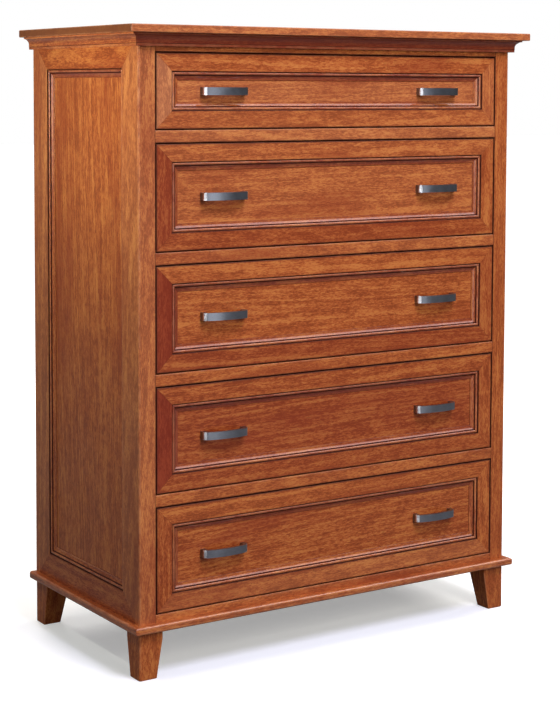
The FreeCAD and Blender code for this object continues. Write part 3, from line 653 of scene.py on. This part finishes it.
def edge_wear_glaze_and_painted_light_group():
    """Rubbed arrises that also paint a highlight, dark glaze in the quirks that also paints their shade,
    and the hairlines where boards meet.
    """
    tree, given = new_group("edge_wear_glaze_and_painted_light", {
        "Marks": None, "Place": None, "Color": (0.5, 0.5, 0.5, 1), "Rubbed Highlit Color": (0.6, 0.3, 0.1, 1),
        "Glaze And Shade Color": (0.05, 0.015, 0.006, 1), "Rub And Highlight": 0.5, "Glaze And Shade Strength": 0.6,
    })
    marks = parts(tree, given["Marks"])
    uneven = noise(tree, given["Place"], scale=38.0, detail=3.0)["Fac"]
    rubbed_and_highlit = times(tree, fade(tree, marks["X"], 0.1, 1.0), fade(tree, uneven, 0.32, 0.62))
    glazed_and_shaded = times(tree, fade(tree, marks["Y"], 0.0, 1.0), fade(tree, uneven, 0.1, 0.5, 0.6, 1.0))
    seam = fade(tree, marks["Z"], 0.25, 1.0)
    dark = calculate(tree, "MAXIMUM", times(tree, glazed_and_shaded, given["Glaze And Shade Strength"]), times(tree, seam, 0.55))
    rubbed_and_highlit = times(tree, rubbed_and_highlit, given["Rub And Highlight"])
    color = mixed(tree, rubbed_and_highlit, given["Color"], given["Rubbed Highlit Color"])
    return close_group(tree, {"Color": mixed(tree, dark, color, given["Glaze And Shade Color"]), "Glazed And Shaded": dark})


def sprayed_lacquer_group():
    """Small differences of gloss in a sprayed and rubbed coat."""
    tree, given = new_group("sprayed_lacquer", {"Place": None, "Gloss Low": 0.3, "Gloss High": 0.45})
    cloud = noise(tree, given["Place"], scale=9.0, detail=4.0, roughness=0.6)["Fac"]
    fine = noise(tree, given["Place"], scale=160.0, detail=2.0)["Fac"]
    both = times(tree, fine, 0.25, times(tree, cloud, 0.75))
    span = calculate(tree, "SUBTRACT", given["Gloss High"], given["Gloss Low"])
    rough = times(tree, fade(tree, both, 0.3, 0.7), span, given["Gloss Low"])
    return close_group(tree, {"Roughness": rough})


def polished_metal_group():
    """Fine lines along the polishing, cloudy differences between them, and edges rubbed bright, which also
    paints a highlight on them.
    """
    tree, given = new_group("polished_metal", {
        "Grain": None, "Seed": 0.5, "Marks": None, "Line Scale": None,
    })
    apart = add_node(tree, "CombineXYZ", {"X": times(tree, given["Seed"], 61.0)}).outputs[0]
    lines = shift(tree, stretch(tree, given["Grain"], given["Line Scale"]), apart)
    lines = noise(tree, lines, detail=3.0, roughness=0.7)["Fac"]
    clouds = noise(tree, shift(tree, given["Grain"], apart), scale=45.0, detail=3.0)["Fac"]
    worn_and_highlit = fade(tree, parts(tree, given["Marks"])["X"], 0.2, 1.0)
    return close_group(tree, {
        "Lines": lines,
        "Level": times(tree, clouds, 0.45, times(tree, lines, 0.55)),
        "Worn And Highlit": times(tree, worn_and_highlit, fade(tree, clouds, 0.35, 0.6, 0.4, 1.0)),
    })


BOARD_FIGURE = board_figure_group()
EDGE_WEAR_GLAZE_AND_PAINTED_LIGHT = edge_wear_glaze_and_painted_light_group()
SPRAYED_LACQUER = sprayed_lacquer_group()
POLISHED_METAL = polished_metal_group()

# How much each layer of the figure counts, and how it shades a strongly toned board

FIGURE_WEIGHTS = (("Streaks", 0.14), ("Rings", 0.18), ("Fibres", 0.46), ("Mottle", 0.22))
LATE_WOOD_WEIGHT = 0.35
SHADE_RANGES = (("Red", 0.74, 1.15), ("Green", 0.60, 1.30), ("Blue", 0.56, 1.28))

# Colours that follow from the deepest colour of a wood, as shares of its red, green and blue

RED_SHARES = (0.92, 0.60, 0.85)
FLECK_SHARES = (0.30, 0.25, 0.25)
GLAZE_AND_SHADE_SHARES = (0.16, 0.13, 0.35)

# The darker shade of a metal, as shares of its colour

DARK_METAL_SHARES = (0.72, 0.72, 0.72)


def new_material(name):
    """A new material with its tree and its shader's inputs."""
    material = bpy.data.materials.new(name)
    material.use_nodes = True
    tree = material.node_tree
    return material, tree, tree.nodes["Principled BSDF"].inputs


def attributes(tree):
    """The grain, board and marks that every face corner carries."""
    return [add_node(tree, "Attribute", attribute_name=name).outputs["Vector"]
            for name in ("grain", "board", "marks")]


def wood(name, deep, middle, pale, blush, ring_width, waviness, contrast, blotch, rub_and_highlight, glaze_and_shade_strength, gloss, coat,
         grain_depth, ends_color):
    """A wood whose figure follows each board; deep, middle and pale are its colours under the finish."""
    material, tree, shader = new_material(name)
    grain, board, marks = attributes(tree)
    known = parts(tree, board)
    tone, seed, end_grain = known["X"], known["Y"], known["Z"]
    place = add_node(tree, "TexCoord").outputs["Object"]
    figure = use_group(tree, BOARD_FIGURE, {
        "Grain": grain, "Seed": seed, "Ring Width": ring_width, "Waviness": waviness,
    })
    level = 0.0
    for layer, weight in FIGURE_WEIGHTS:
        level = times(tree, figure[layer], weight, level)
    level = fade(tree, level, 0.5 - contrast, 0.5 + contrast)
    late_wood = times(tree, figure["Late Wood"], LATE_WOOD_WEIGHT)
    level = calculate(tree, "SUBTRACT", level, late_wood)

    color = mixed(tree, fade(tree, level, 0.0, 0.5), (*deep, 1), (*middle, 1))
    color = mixed(tree, fade(tree, level, 0.45, 1.0), color, (*pale, 1))
    color = mixed(tree, fade(tree, tone, 0.0, 1.0), color, (*blush, 1))
    red = tinted(deep, RED_SHARES)
    color = mixed(tree, fade(tree, tone, 0.0, -1.0), color, red)
    toned = calculate(tree, "MINIMUM", calculate(tree, "ABSOLUTE", tone), 1.0)
    shaded = add_node(tree, "CombineColor", {
        part: fade(tree, level, 0.0, 1.0, low, high) for part, low, high in SHADE_RANGES
    }).outputs["Color"]
    color = mixed(tree, toned, color, shaded, "MULTIPLY")
    color = mixed(tree, fade(tree, figure["Clouds"], 0.5, 0.75, 0.0, blotch), color, red)
    for spots, strength in (("Flecks", 0.55), ("Knots", 0.75)):
        covered = times(tree, figure[spots], strength)
        color = mixed(tree, covered, color, tinted(deep, FLECK_SHARES))
    color = mixed(tree, times(tree, end_grain, 0.85), color, (*ends_color, 1))

    # Eased edges get the rubbed colour, partly real wear and partly a painted highlight; quirks, inner
    # corners and gap flanks get dark glaze that also paints their shade.
    edges = use_group(tree, EDGE_WEAR_GLAZE_AND_PAINTED_LIGHT, {
        "Color": color, "Marks": marks, "Place": place, "Rubbed Highlit Color": (*blush, 1),
        "Glaze And Shade Color": tinted(deep, GLAZE_AND_SHADE_SHARES), "Rub And Highlight": rub_and_highlight, "Glaze And Shade Strength": glaze_and_shade_strength,
    })
    lacquer = use_group(tree, SPRAYED_LACQUER, {
        "Place": place, "Gloss Low": gloss[0], "Gloss High": gloss[1],
    })
    rough = times(tree, edges["Glazed And Shaded"], 0.25, lacquer["Roughness"])
    height = times(tree, figure["Rings"], 0.3)
    height = times(tree, figure["Fibres"], 0.7, height)
    height = calculate(tree, "SUBTRACT", height, figure["Flecks"])
    bump = add_node(tree, "Bump", {"Height": height, "Strength": 0.35, "Distance": grain_depth})
    outside_glaze_and_shade = calculate(tree, "SUBTRACT", 1.0, edges["Glazed And Shaded"])
    fill(tree, shader, {
        "Base Color": edges["Color"],
        "Roughness": rough,
        "Normal": bump.outputs["Normal"],
        "Specular IOR Level": 0.15,
        "Coat Weight": times(tree, outside_glaze_and_shade, coat),
        "Coat Roughness": 0.14,
    })
    return material


def metal(name, color, worn_highlight_color, line_scale, gloss, line_depth):
    """Bare or toned metal with fine lines along its polishing and paler edges, partly worn and partly a
    painted highlight.
    """
    material, tree, shader = new_material(name)
    grain, board, marks = attributes(tree)
    polish = use_group(tree, POLISHED_METAL, {
        "Grain": grain, "Seed": parts(tree, board)["Y"], "Marks": marks, "Line Scale": line_scale,
    })
    shaded = fade(tree, polish["Level"], 0.3, 0.7)
    shade = mixed(tree, shaded, tinted(color, DARK_METAL_SHARES), (*color, 1))
    bump = add_node(tree, "Bump", {"Height": polish["Lines"], "Strength": 0.3, "Distance": line_depth})
    fill(tree, shader, {
        "Base Color": mixed(tree, polish["Worn And Highlit"], shade, (*worn_highlight_color, 1)),
        "Metallic": 1.0,
        "Roughness": fade(tree, polish["Level"], 0.25, 0.75, *gloss),
        "Normal": bump.outputs["Normal"],
    })
    return material


# Looks: a slot name, which the script does not use, and the material of each piece

CHERRY_SHADES = dict(
    deep=(0.25, 0.052, 0.012), middle=(0.41, 0.098, 0.023), pale=(0.52, 0.170, 0.040),
    blush=(0.60, 0.265, 0.12), ends_color=(0.12, 0.0364, 0.0132), ring_width=0.0085, waviness=0.035,
    contrast=0.10, blotch=0.5, rub_and_highlight=0.30, glaze_and_shade_strength=0.97, gloss=(0.30, 0.42), grain_depth=0.12 * MM,
)
CHERRY = "cherry", wood("stained_cherry", coat=0.25, **CHERRY_SHADES)
MOULDED_CHERRY = "cherry", wood("stained_cherry_moulded", coat=0.95, **CHERRY_SHADES)
MAPLE = "maple", wood(
    "box_maple", deep=(0.53, 0.345, 0.19), middle=(0.65, 0.45, 0.265), pale=(0.73, 0.54, 0.345),
    blush=(0.77, 0.60, 0.42), ends_color=(0.36, 0.23, 0.13), ring_width=0.007, waviness=0.02, contrast=0.2,
    blotch=0.1, rub_and_highlight=0.2, glaze_and_shade_strength=0.35, gloss=(0.42, 0.55), coat=0.12, grain_depth=0.08 * MM)
PLYWOOD = "plywood", wood(
    "birch_plywood", deep=(0.45, 0.27, 0.135), middle=(0.58, 0.375, 0.20), pale=(0.65, 0.455, 0.27),
    blush=(0.69, 0.50, 0.33), ends_color=(0.30, 0.18, 0.09), ring_width=0.011, waviness=0.07, contrast=0.2,
    blotch=0.12, rub_and_highlight=0.15, glaze_and_shade_strength=0.35, gloss=(0.5, 0.65), coat=0.0, grain_depth=0.1 * MM)
PEWTER = "pewter", metal(
    "brushed_pewter", color=(0.27, 0.285, 0.32), worn_highlight_color=(0.88, 0.89, 0.92),
    line_scale=(6.0, 1400.0, 1400.0), gloss=(0.27, 0.38), line_depth=0.02 * MM)
ZINC = "slide_steel", metal(
    "zinc_plated_steel", color=(0.30, 0.31, 0.32), worn_highlight_color=(0.46, 0.46, 0.47),
    line_scale=(5.0, 900.0, 900.0), gloss=(0.24, 0.40), line_depth=0.03 * MM)


# The case

def top_slab():
    """The top board, with all its edges rounded."""
    piece = Joinery()
    seed = draw.random()
    low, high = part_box("top_board")
    size, middle = high - low, (high + low) / 2
    for vert in bmesh.ops.create_cube(piece.mesh, size=1)["verts"]:
        vert.co = Vector([part * length for part, length in zip(vert.co, size)]) + middle
    worn_and_highlit, faces = piece.round_edges(piece.mesh.edges[:], TOP_EASE, 4)
    piece.mark_board(faces, worn_and_highlit, 0, middle, TOP_TONE, seed)
    piece.finish("top_slab", "case", CHERRY, ["top_board"])


def moulding_round_case(name, section, node, tones):
    """Front and side lengths of a moulding, mitred at the front corners."""
    piece = Joinery()
    level = Z_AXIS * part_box(node)[0].z
    piece.stick(section, level + Y_AXIS * CASE_FRONT, X_AXIS, -Y_AXIS, Z_AXIS, -CASE_HALF, CASE_HALF,
                (-1, 1), tones[0])
    for side, tone in zip((LEFT, RIGHT), tones[1:]):
        out = X_AXIS * side
        piece.stick(section, level + out * CASE_HALF, Y_AXIS, out, Z_AXIS, CASE_FRONT, CASE_BACK,
                    (-1, 0), tone, seams=(1, 0))
    piece.finish(name, "case", MOULDED_CHERRY, [node], shaded_sharp=40)


def framed_panel(name, body, sections, member, back, ways, edges, tones, beading_tones_and_painted_shade):
    """A mitred frame that stands on its back plane, its flat panel and the moulding between them."""
    piece = Joinery()
    piece.four_sided_frame(sections, back, ways, edges, tones)
    piece.finish(name + "_framing", body, CHERRY, [name + "_frame"])

    boards_from_node(name + "_flat_panel", name + "_panel", body, CHERRY, tones[4])

    piece = Joinery()
    low, high, left, right = edges
    inner = (low + member, high - member, left + member, right - member)
    piece.four_sided_frame([panel_moulding_section()] * 4, back + ways[2] * (FRAME_THICK - PANEL_RECESS),
                           ways, inner, beading_tones_and_painted_shade)
    piece.finish(name + "_panel_beading", body, MOULDED_CHERRY, [name + "_moulding"], shaded_sharp=40)


def framed_side(name, side):
    """One side of the case; its face looks along the side's own way."""
    out = X_AXIS * side
    flat, corner = frame_section(SIDE_MEMBER), corner_member_section(SIDE_MEMBER, rebated=True)
    framed_panel(name, "case", (flat, flat, corner, flat), SIDE_MEMBER, out * (CASE_HALF - FRAME_THICK),
                 (Y_AXIS, Z_AXIS, out), (CASE_LOW, CASE_HIGH, CASE_FRONT, CASE_BACK),
                 SIDE_TONES_AND_PAINTED_SHADE, SIDE_BEADING_TONES_AND_PAINTED_SHADE)


def face_frame():
    """Two stiles that meet the sides at the corners, and six rails between them."""
    piece = Joinery()
    section = corner_member_section(CASE_HALF - OPENING_HALF, rebated=False)
    back = Y_AXIS * (CASE_FRONT + FRAME_THICK)
    for side, tone in zip((LEFT, RIGHT), STILE_TONES):
        piece.stick(section, back + X_AXIS * CASE_HALF * side, Z_AXIS, X_AXIS * -side, -Y_AXIS,
                    CASE_LOW, CASE_HIGH, SQUARE, tone, seams=(0, 0))
    piece.finish("front_stiles", "case", CHERRY, ["face_frame_stiles"])

    piece = Joinery()
    levels = [CASE_LOW]
    for number in reversed(DRAWERS):
        low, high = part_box("drawer_%d_frame" % number)
        levels += [low.z - DRAWER_GAP, high.z + DRAWER_GAP]
    levels.append(CASE_HIGH)
    for low, high, tone in zip(levels[::2], levels[1::2], RAIL_TONES):
        height = high - low
        # Both flanks, the bottom one most, carry dark glaze that paints the shade of the drawer gaps; the
        # eased front edges get the rubbed colour, which also paints a highlight.
        outline = eased_section([(0, 0, 0, 1), (height, 0, 0, 0.35), (height, FRAME_THICK, RAIL_EASE),
                                 (0, FRAME_THICK, EDGE_EASE)])
        piece.stick(outline, back + Z_AXIS * low, X_AXIS, Z_AXIS, -Y_AXIS, -OPENING_HALF, OPENING_HALF,
                    SQUARE, tone)
    piece.finish("front_rails", "case", CHERRY, ["face_frame_rails"])


def tapered_foot(name, node, side, facing):
    """A square foot; its two inner faces run in below the knee and its sole is eased."""
    piece = Joinery()
    seed = draw.random()
    corner = Vector((CASE_HALF * side, CASE_FRONT if facing == FRONT else CASE_BACK, 0))
    middle = Vector((0, FOOT_TOP / 2, FOOT_TOP / 2))
    rings = []
    for height, inset, level_wear_and_highlight, glaze_and_shade in FOOT_LEVELS:
        taper = min(height / FOOT_KNEE, 1)
        near, far = inset, FOOT_SOLE + (FOOT_TOP - FOOT_SOLE) * taper - inset
        section = eased_section([(near, near, CORNER_EASE), (far, near, FOOT_EASE), (far, far, FOOT_EASE),
                                 (near, far, FOOT_EASE)])
        ring = []
        for u, v, wear_and_highlight, _ in section:
            point = piece.mesh.verts.new(corner + Vector((-u * side, v * facing, height)))
            ring.append((point, Vector((height, u, v)) - middle, (max(wear_and_highlight, level_wear_and_highlight), glaze_and_shade, 0)))
        rings.append(ring)
    piece.skin(rings, FOOT_TONE, seed)
    piece.finish(name, "case", CHERRY, [node])


def back_nails():
    """Domed heads of the nails that hold the back panel, which is set in a hair from the sides' edges."""
    piece = Joinery()
    low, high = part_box("case_back")
    width, height = high.x - low.x - 2 * NAIL_INSET, high.z - low.z - 2 * NAIL_INSET
    columns, rows = round(width / NAIL_SPACING), round(height / NAIL_SPACING)
    heads = []
    for row in range(rows + 1):
        for column in range(columns + 1):
            if row in (0, rows) or column in (0, columns):
                x = low.x + NAIL_INSET + width * column / columns + draw.uniform(-1.5, 1.5) * MM
                slip = draw.uniform(-6, 6) * MM * (0 < row < rows)
                heads.append((x, low.z + NAIL_INSET + height * row / rows + slip))
    for x, z in sorted(heads):
        profile = [(radius * MM, high.y - BACK_SET_IN + proud * MM) for radius, proud in NAIL_HEAD]
        piece.turned(x, z, profile, 12, high.y)
    piece.finish("back_nails", "case", ZINC, [])


def plywood_back():
    """The back panel, with its outer face set in."""
    panel = boards_from_node("plywood_back", "case_back", "case", PLYWOOD, ease=FINE_EASE, along=2)
    for point in panel.data.vertices:
        if point.co.y > CASE_BACK - 1 * MM:
            point.co.y -= BACK_SET_IN


# Drawers

def drawer_front(number):
    """Mitred frame, panel and moulding of one drawer."""
    name = "drawer_%d" % number
    low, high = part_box(name + "_frame")
    tones = DRAWER_TONES_AND_PAINTED_LIGHT[number]
    beading_tones_and_painted_shade = [tone * BEADING_SHARE + shade for tone, shade in zip(tones, BEADING_PAINTED_SHADE)]
    framed_panel(name, name, [frame_section(FRONT_MEMBER, edge_glaze_and_shade=1)] * 4, FRONT_MEMBER, Y_AXIS * high.y,
                 (X_AXIS, Z_AXIS, -Y_AXIS), (low.z, high.z, low.x, high.x), tones, beading_tones_and_painted_shade)


def bowed_row(half, reach, drop, steps=20):
    """Points along an arc that stands out by reach in its middle and less by drop at both ends."""
    radius = (half ** 2 + drop ** 2) / (2 * drop)
    spread = [half * (step / steps * 2 - 1) for step in range(steps + 1)]
    return [(x, reach - radius + math.sqrt(radius ** 2 - x ** 2)) for x in spread]


def strap_plan():
    """The outline of a pull from above, and how far out its ends start to turn back."""
    front = bowed_row(PULL_HALF, PULL_STAND, PULL_SAG)
    turn_out = front[0][1] - PULL_TURN
    left_end = []
    for share in (1.0, 0.9, 0.8, 0.7, 0.6):
        angle = math.pi * share
        left_end.append((PULL_TURN - PULL_HALF + math.cos(angle) * PULL_TURN,
                         turn_out + math.sin(angle) * PULL_TURN))
    right_end = [(-x, out) for x, out in left_end[::-1]]
    behind = bowed_row(PULL_INNER_HALF, PULL_STAND - PULL_THICK, PULL_INNER_SAG)
    plan = [(-PULL_HALF, 0), *left_end, *front[1:-1], *right_end, (PULL_HALF, 0), (PULL_INNER_HALF, 0)]
    return plan + behind[::-1] + [(-PULL_INNER_HALF, 0)], turn_out


def strap_pull(piece, centre_x, centre_z, panel_y):
    """A bowed strap with a leg at each end, cut from plate and eased all round."""
    plan, turn_out = strap_plan()
    low, high = ([piece.mesh.verts.new((centre_x + x, panel_y - out, centre_z + height)) for x, out in plan]
                 for height in (-PULL_HALF_HEIGHT, PULL_HALF_HEIGHT))
    faces = [piece.mesh.faces.new(low), piece.mesh.faces.new(high[::-1])]
    for here, after, above_after, above in quads_between(low, high):
        faces.append(piece.mesh.faces.new((here, above, above_after, after)))
    edges = dict.fromkeys(edge for face in faces for edge in face.edges)
    sharp = [edge for edge in edges if edge.calc_face_angle(0) > PLATE_ANGLE]
    worn_and_highlit, touched = piece.round_edges(sharp, PULL_EASE, 3)
    faces = touched.union(face for face in faces if face.is_valid)
    piece.mark_board(faces, worn_and_highlit, 0, Vector((centre_x, panel_y, centre_z)), 0, draw.random())
    # Faces where the ends turn back toward the drawer get the pale worn colour: a painted glint.
    for face in faces - worn_and_highlit:
        in_front = face.calc_center_median().y < panel_y - turn_out
        turned_back = abs(face.normal.x) > TURNED_SIDEWAYS and abs(face.normal.y) > TURNED_FORWARD
        if in_front and turned_back:
            for loop in face.loops:
                loop[piece.marks] = (0.8, 0, 0)


def pull_screw(piece, x, z, panel_y, head_y):
    """A pan head screw, from inside the box into the leg of a pull."""
    profile = [(SCREW_SHANK, panel_y - SCREW_DEPTH), (SCREW_SHANK, head_y)]
    profile += [(radius * MM, head_y + height * MM) for radius, height in SCREW_HEAD]
    piece.turned(x, z, profile, 20, head_y)


def drawer_pulls(number):
    """Both pulls of a drawer with their four screws."""
    name = "drawer_%d" % number
    low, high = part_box(name + "_frame")
    panel_y = low.y + PANEL_RECESS
    head_y = high.y + BOX_BOARD
    centre_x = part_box(name + "_pulls")[1].x - PULL_HALF
    centre_z = (low.z + high.z) / 2
    piece = Joinery()
    for side in (LEFT, RIGHT):
        strap_pull(piece, centre_x * side, centre_z, panel_y)
        for end in (LEFT, RIGHT):
            pull_screw(piece, centre_x * side + SCREW_PLACE * end, centre_z, panel_y, head_y)
    piece.finish(name + "_strap_pulls", name, PEWTER, [name + "_pulls"])


def dovetailed_box(name, node, body):
    """The four boards of a drawer box: side grain along each board, end grain on its pins and tails."""
    piece = copied_node(node)
    low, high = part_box(node)
    middle = (low + high) / 2
    boards = {}
    for flat in islands(piece.mesh):
        flat_low, flat_high = box_round(flat)
        reach = flat_high - flat_low
        facing = min(abs(face.normal.x) for face in flat)
        across = reach.x > LONG_BOARD or (reach.y < LONG_BOARD and facing > SIDEWAYS)
        along, other = (0, 1) if across else (1, 0)
        far = (flat_low[other] + flat_high[other]) / 2 > middle[other]
        number = 2 * along + (1 if far else 0)
        boards[number] = along
        for face in flat:
            face.material_index = number
    joined_flat(piece.mesh, delimit={"MATERIAL"})
    for number, along in sorted(boards.items()):
        faces = [face for face in piece.mesh.faces if face.material_index == number]
        piece.mark_board(faces, (), along, middle, BOX_TONES[number], draw.random())
    for face in piece.mesh.faces:
        face.material_index = 0
    piece.ease_sharp_edges(BOX_EASE, shortest=LONG_BOARD / 2)
    piece.finish(name, body, MAPLE, [node], shaded_sharp=1)


def drawer(number):
    """One drawer, and the middle members of its slides, which move on their own."""
    name = "drawer_%d" % number
    drawer_front(number)
    drawer_pulls(number)
    dovetailed_box(name + "_dovetailed_box", name + "_box", name)
    boards_from_node(name + "_plywood_bottom", name + "_bottom", name, PLYWOOD)
    for part, node, body in (("_runners", "_slide_runners", name),
                             ("_middle_members", "_slide_middles", name + "_middles")):
        boards_from_node(name + part, name + node, body, ZINC, ease=SLIDE_EASE, along=1)


top_slab()
moulding_round_case("crown", crown_section(), "crown_moulding", CROWN_TONES_AND_PAINTED_SHADE)
moulding_round_case("base_band", base_section(), "base_moulding", BASE_TONES)
framed_side("left_side", LEFT)
framed_side("right_side", RIGHT)
face_frame()
for facing_word, facing in (("front", FRONT), ("back", BACK)):
    for side_word, side in (("left", LEFT), ("right", RIGHT)):
        tapered_foot("foot_%s_%s" % (facing_word, side_word), "%s_%s_foot" % (facing_word, side_word),
                     side, facing)
plywood_back()
back_nails()
for part, node, look, ease, along in (
    ("plywood_case_bottom", "case_bottom", PLYWOOD, BOTTOM_EASE, 0),
    ("glued_corner_blocks", "corner_blocks", MAPLE, BLOCK_EASE, 2),
    ("maple_cleats", "slide_cleats", MAPLE, FINE_EASE, 1),
    ("case_channels", "slide_channels", ZINC, SLIDE_EASE, 1),
):
    boards_from_node(part, node, "case", look, ease=ease, along=along)
for drawer_number in DRAWERS:
    drawer(drawer_number)


# Studio

REFLECTED_SHARE = 0.08
FLOOR_HALF = 30.0
FLOOR_CLOUDS = ((0.74, 0.735, 0.73, 1), (0.80, 0.795, 0.79, 1))
FLOOR_BASE = (0.07, 0.066, 0.064, 1)
FLOOR_GLOW = (0.34, 0.34, 0.34, 1)
BLACK = (0, 0, 0, 1)
WHITE = (1, 1, 1, 1)
LOW_SKY = (0.045, 0.042, 0.040, 1)
HIGH_SKY = (0.25, 0.255, 0.26, 1)
CARD_GLOW = (4.5, 4.45, 4.5, 1)
LEFT_WINDOW_WAY = (-0.93, -0.36, 0.05)
FRONT_WINDOW_WAY = (0.55, -0.55, 0.63)

# Each lamp: name, place, target, width, height, power, colour, and True where it shows in glossy faces

SOFT_LIGHTS = (
    ("left_light", (-1.08, -0.08, 1.24), (-0.48, -0.03, 1.18), 0.5, 0.1, 5.8, (0.95, 1.0, 0.90)),
    ("left_card", (-2.6, -0.9, 0.4), (-0.48, -0.1, 0.2), 0.8, 0.6, 5, (1.0, 0.98, 0.96)),
    ("front_light", (-0.1, -2.5, 3.6), (0.0, -0.22, 0.75), 1.3, 1.3, 90, (1.0, 1.02, 1.40), True),
    ("front_card", (0.15, -3.3, 0.65), (0.0, -0.22, 0.65), 1.2, 1.2, 9, (0.98, 1.0, 1.06), True),
    ("front_fill", (0.15, -3.3, 2.0), (0.0, -0.22, 0.3), 1.3, 1.0, 46, (1.0, 0.98, 0.90)),
    ("right_light", (2.9, 0.2, 2.3), (0.48, 0.0, 0.7), 1.5, 1.5, 80, (1.0, 0.985, 0.96)),
    ("back_light", (0.2, 3.3, 2.5), (0.0, 0.26, 0.7), 1.5, 1.5, 95, (1.0, 0.985, 0.96)),
)


def seen_background(tree):
    """1 where the camera sees the pale background, and part of it where metal or lacquer mirrors it."""
    path = add_node(tree, "LightPath").outputs
    mirrored = times(tree, path["Is Glossy Ray"], REFLECTED_SHARE)
    straight = calculate(tree, "MAXIMUM", path["Is Camera Ray"], path["Is Transmission Ray"])
    return calculate(tree, "MAXIMUM", straight, mirrored)


def pale_floor():
    """A wide floor that goes pale for the camera and keeps the shadow of the chest."""
    data = bpy.data.meshes.new("studio_floor")
    corners = [(x * FLOOR_HALF, y * FLOOR_HALF, 0) for x, y in ((-1, -1), (1, -1), (1, 1), (-1, 1))]
    data.from_pydata(corners, [], [(0, 1, 2, 3)])
    floor = new_object("studio_floor", data)
    material, tree, shader = new_material("pale_floor")
    place = add_node(tree, "TexCoord").outputs["Object"]
    seen = seen_background(tree)
    shade = mixed(tree, noise(tree, place, scale=3.0, detail=3.0)["Fac"], *FLOOR_CLOUDS)
    far = calculate_vector(tree, "LENGTH", place)["Value"]
    glow = mixed(tree, fade(tree, far, 0.9, 2.6), FLOOR_GLOW, WHITE)
    fill(tree, shader, {
        "Base Color": mixed(tree, seen, FLOOR_BASE, shade),
        "Roughness": 0.9,
        "Emission Color": mixed(tree, seen, BLACK, glow),
        "Emission Strength": 1.0,
    })
    data.materials.append(material)


def soft_light(name, place, target, width, height, power, color, mirrored=False):
    """A soft lamp that the camera doesn't see."""
    lamp = bpy.data.lights.new(name, "AREA")
    lamp.shape = "RECTANGLE"
    lamp.size, lamp.size_y = width, height
    lamp.energy = power
    lamp.color = color
    item = new_object(name, lamp)
    item.location = place
    item.rotation_euler = (Vector(target) - Vector(place)).to_track_quat("-Z", "Y").to_euler()
    item.visible_camera = False
    item.visible_glossy = mirrored


def studio_world():
    """Even light on a white ground; glossy faces also mirror two windows and a bright ceiling."""
    world = bpy.data.worlds.new("studio_world")
    bpy.context.scene.world = world
    world.use_nodes = True
    tree = world.node_tree
    way = add_node(tree, "TexCoord").outputs["Generated"]
    up = parts(tree, way)["Z"]
    sky = mixed(tree, fade(tree, up, 0.1, 0.95), LOW_SKY, HIGH_SKY)
    to_left = calculate_vector(tree, "DOT_PRODUCT", way, LEFT_WINDOW_WAY)["Value"]
    to_front = calculate_vector(tree, "DOT_PRODUCT", way, FRONT_WINDOW_WAY)["Value"]
    low_window = times(tree, fade(tree, to_left, 0.55, 0.80), fade(tree, up, 0.08, 0.20, 1.0, 0.0))
    high_window = times(tree, fade(tree, to_front, 0.79, 0.87), fade(tree, up, 0.42, 0.56))
    cards = calculate(tree, "MAXIMUM", low_window, high_window)
    cards = calculate(tree, "MAXIMUM", cards, fade(tree, up, 0.6, 0.9, 0.0, 0.5))
    mirrored = add_node(tree, "LightPath").outputs["Is Glossy Ray"]
    sky = mixed(tree, times(tree, cards, mirrored), sky, CARD_GLOW)
    sky = mixed(tree, seen_background(tree), sky, WHITE)
    fill(tree, tree.nodes["Background"].inputs, {"Color": sky, "Strength": 1.0})


def camera():
    """The photograph's view: from the front left, a little below the top board."""
    data = bpy.data.cameras.new("camera")
    data.sensor_width = 36
    data.lens = 88.12
    data.shift_y = -0.2090
    eye = new_object("camera", data)
    yaw, pitch, roll = math.radians(33.23), math.radians(3.879), math.radians(0.19)
    eye.location = (-2.1164, -3.2375, 1.1948)
    ahead = Vector((math.sin(yaw) * math.cos(pitch), math.cos(yaw) * math.cos(pitch), -math.sin(pitch)))
    eye.rotation_euler = (ahead.to_track_quat("-Z", "Y") @ Quaternion(Z_AXIS, roll)).to_euler()
    bpy.context.scene.camera = eye


pale_floor()
for settings in SOFT_LIGHTS:
    soft_light(*settings)
studio_world()
camera()
bpy.context.scene.view_settings.view_transform = "Standard"
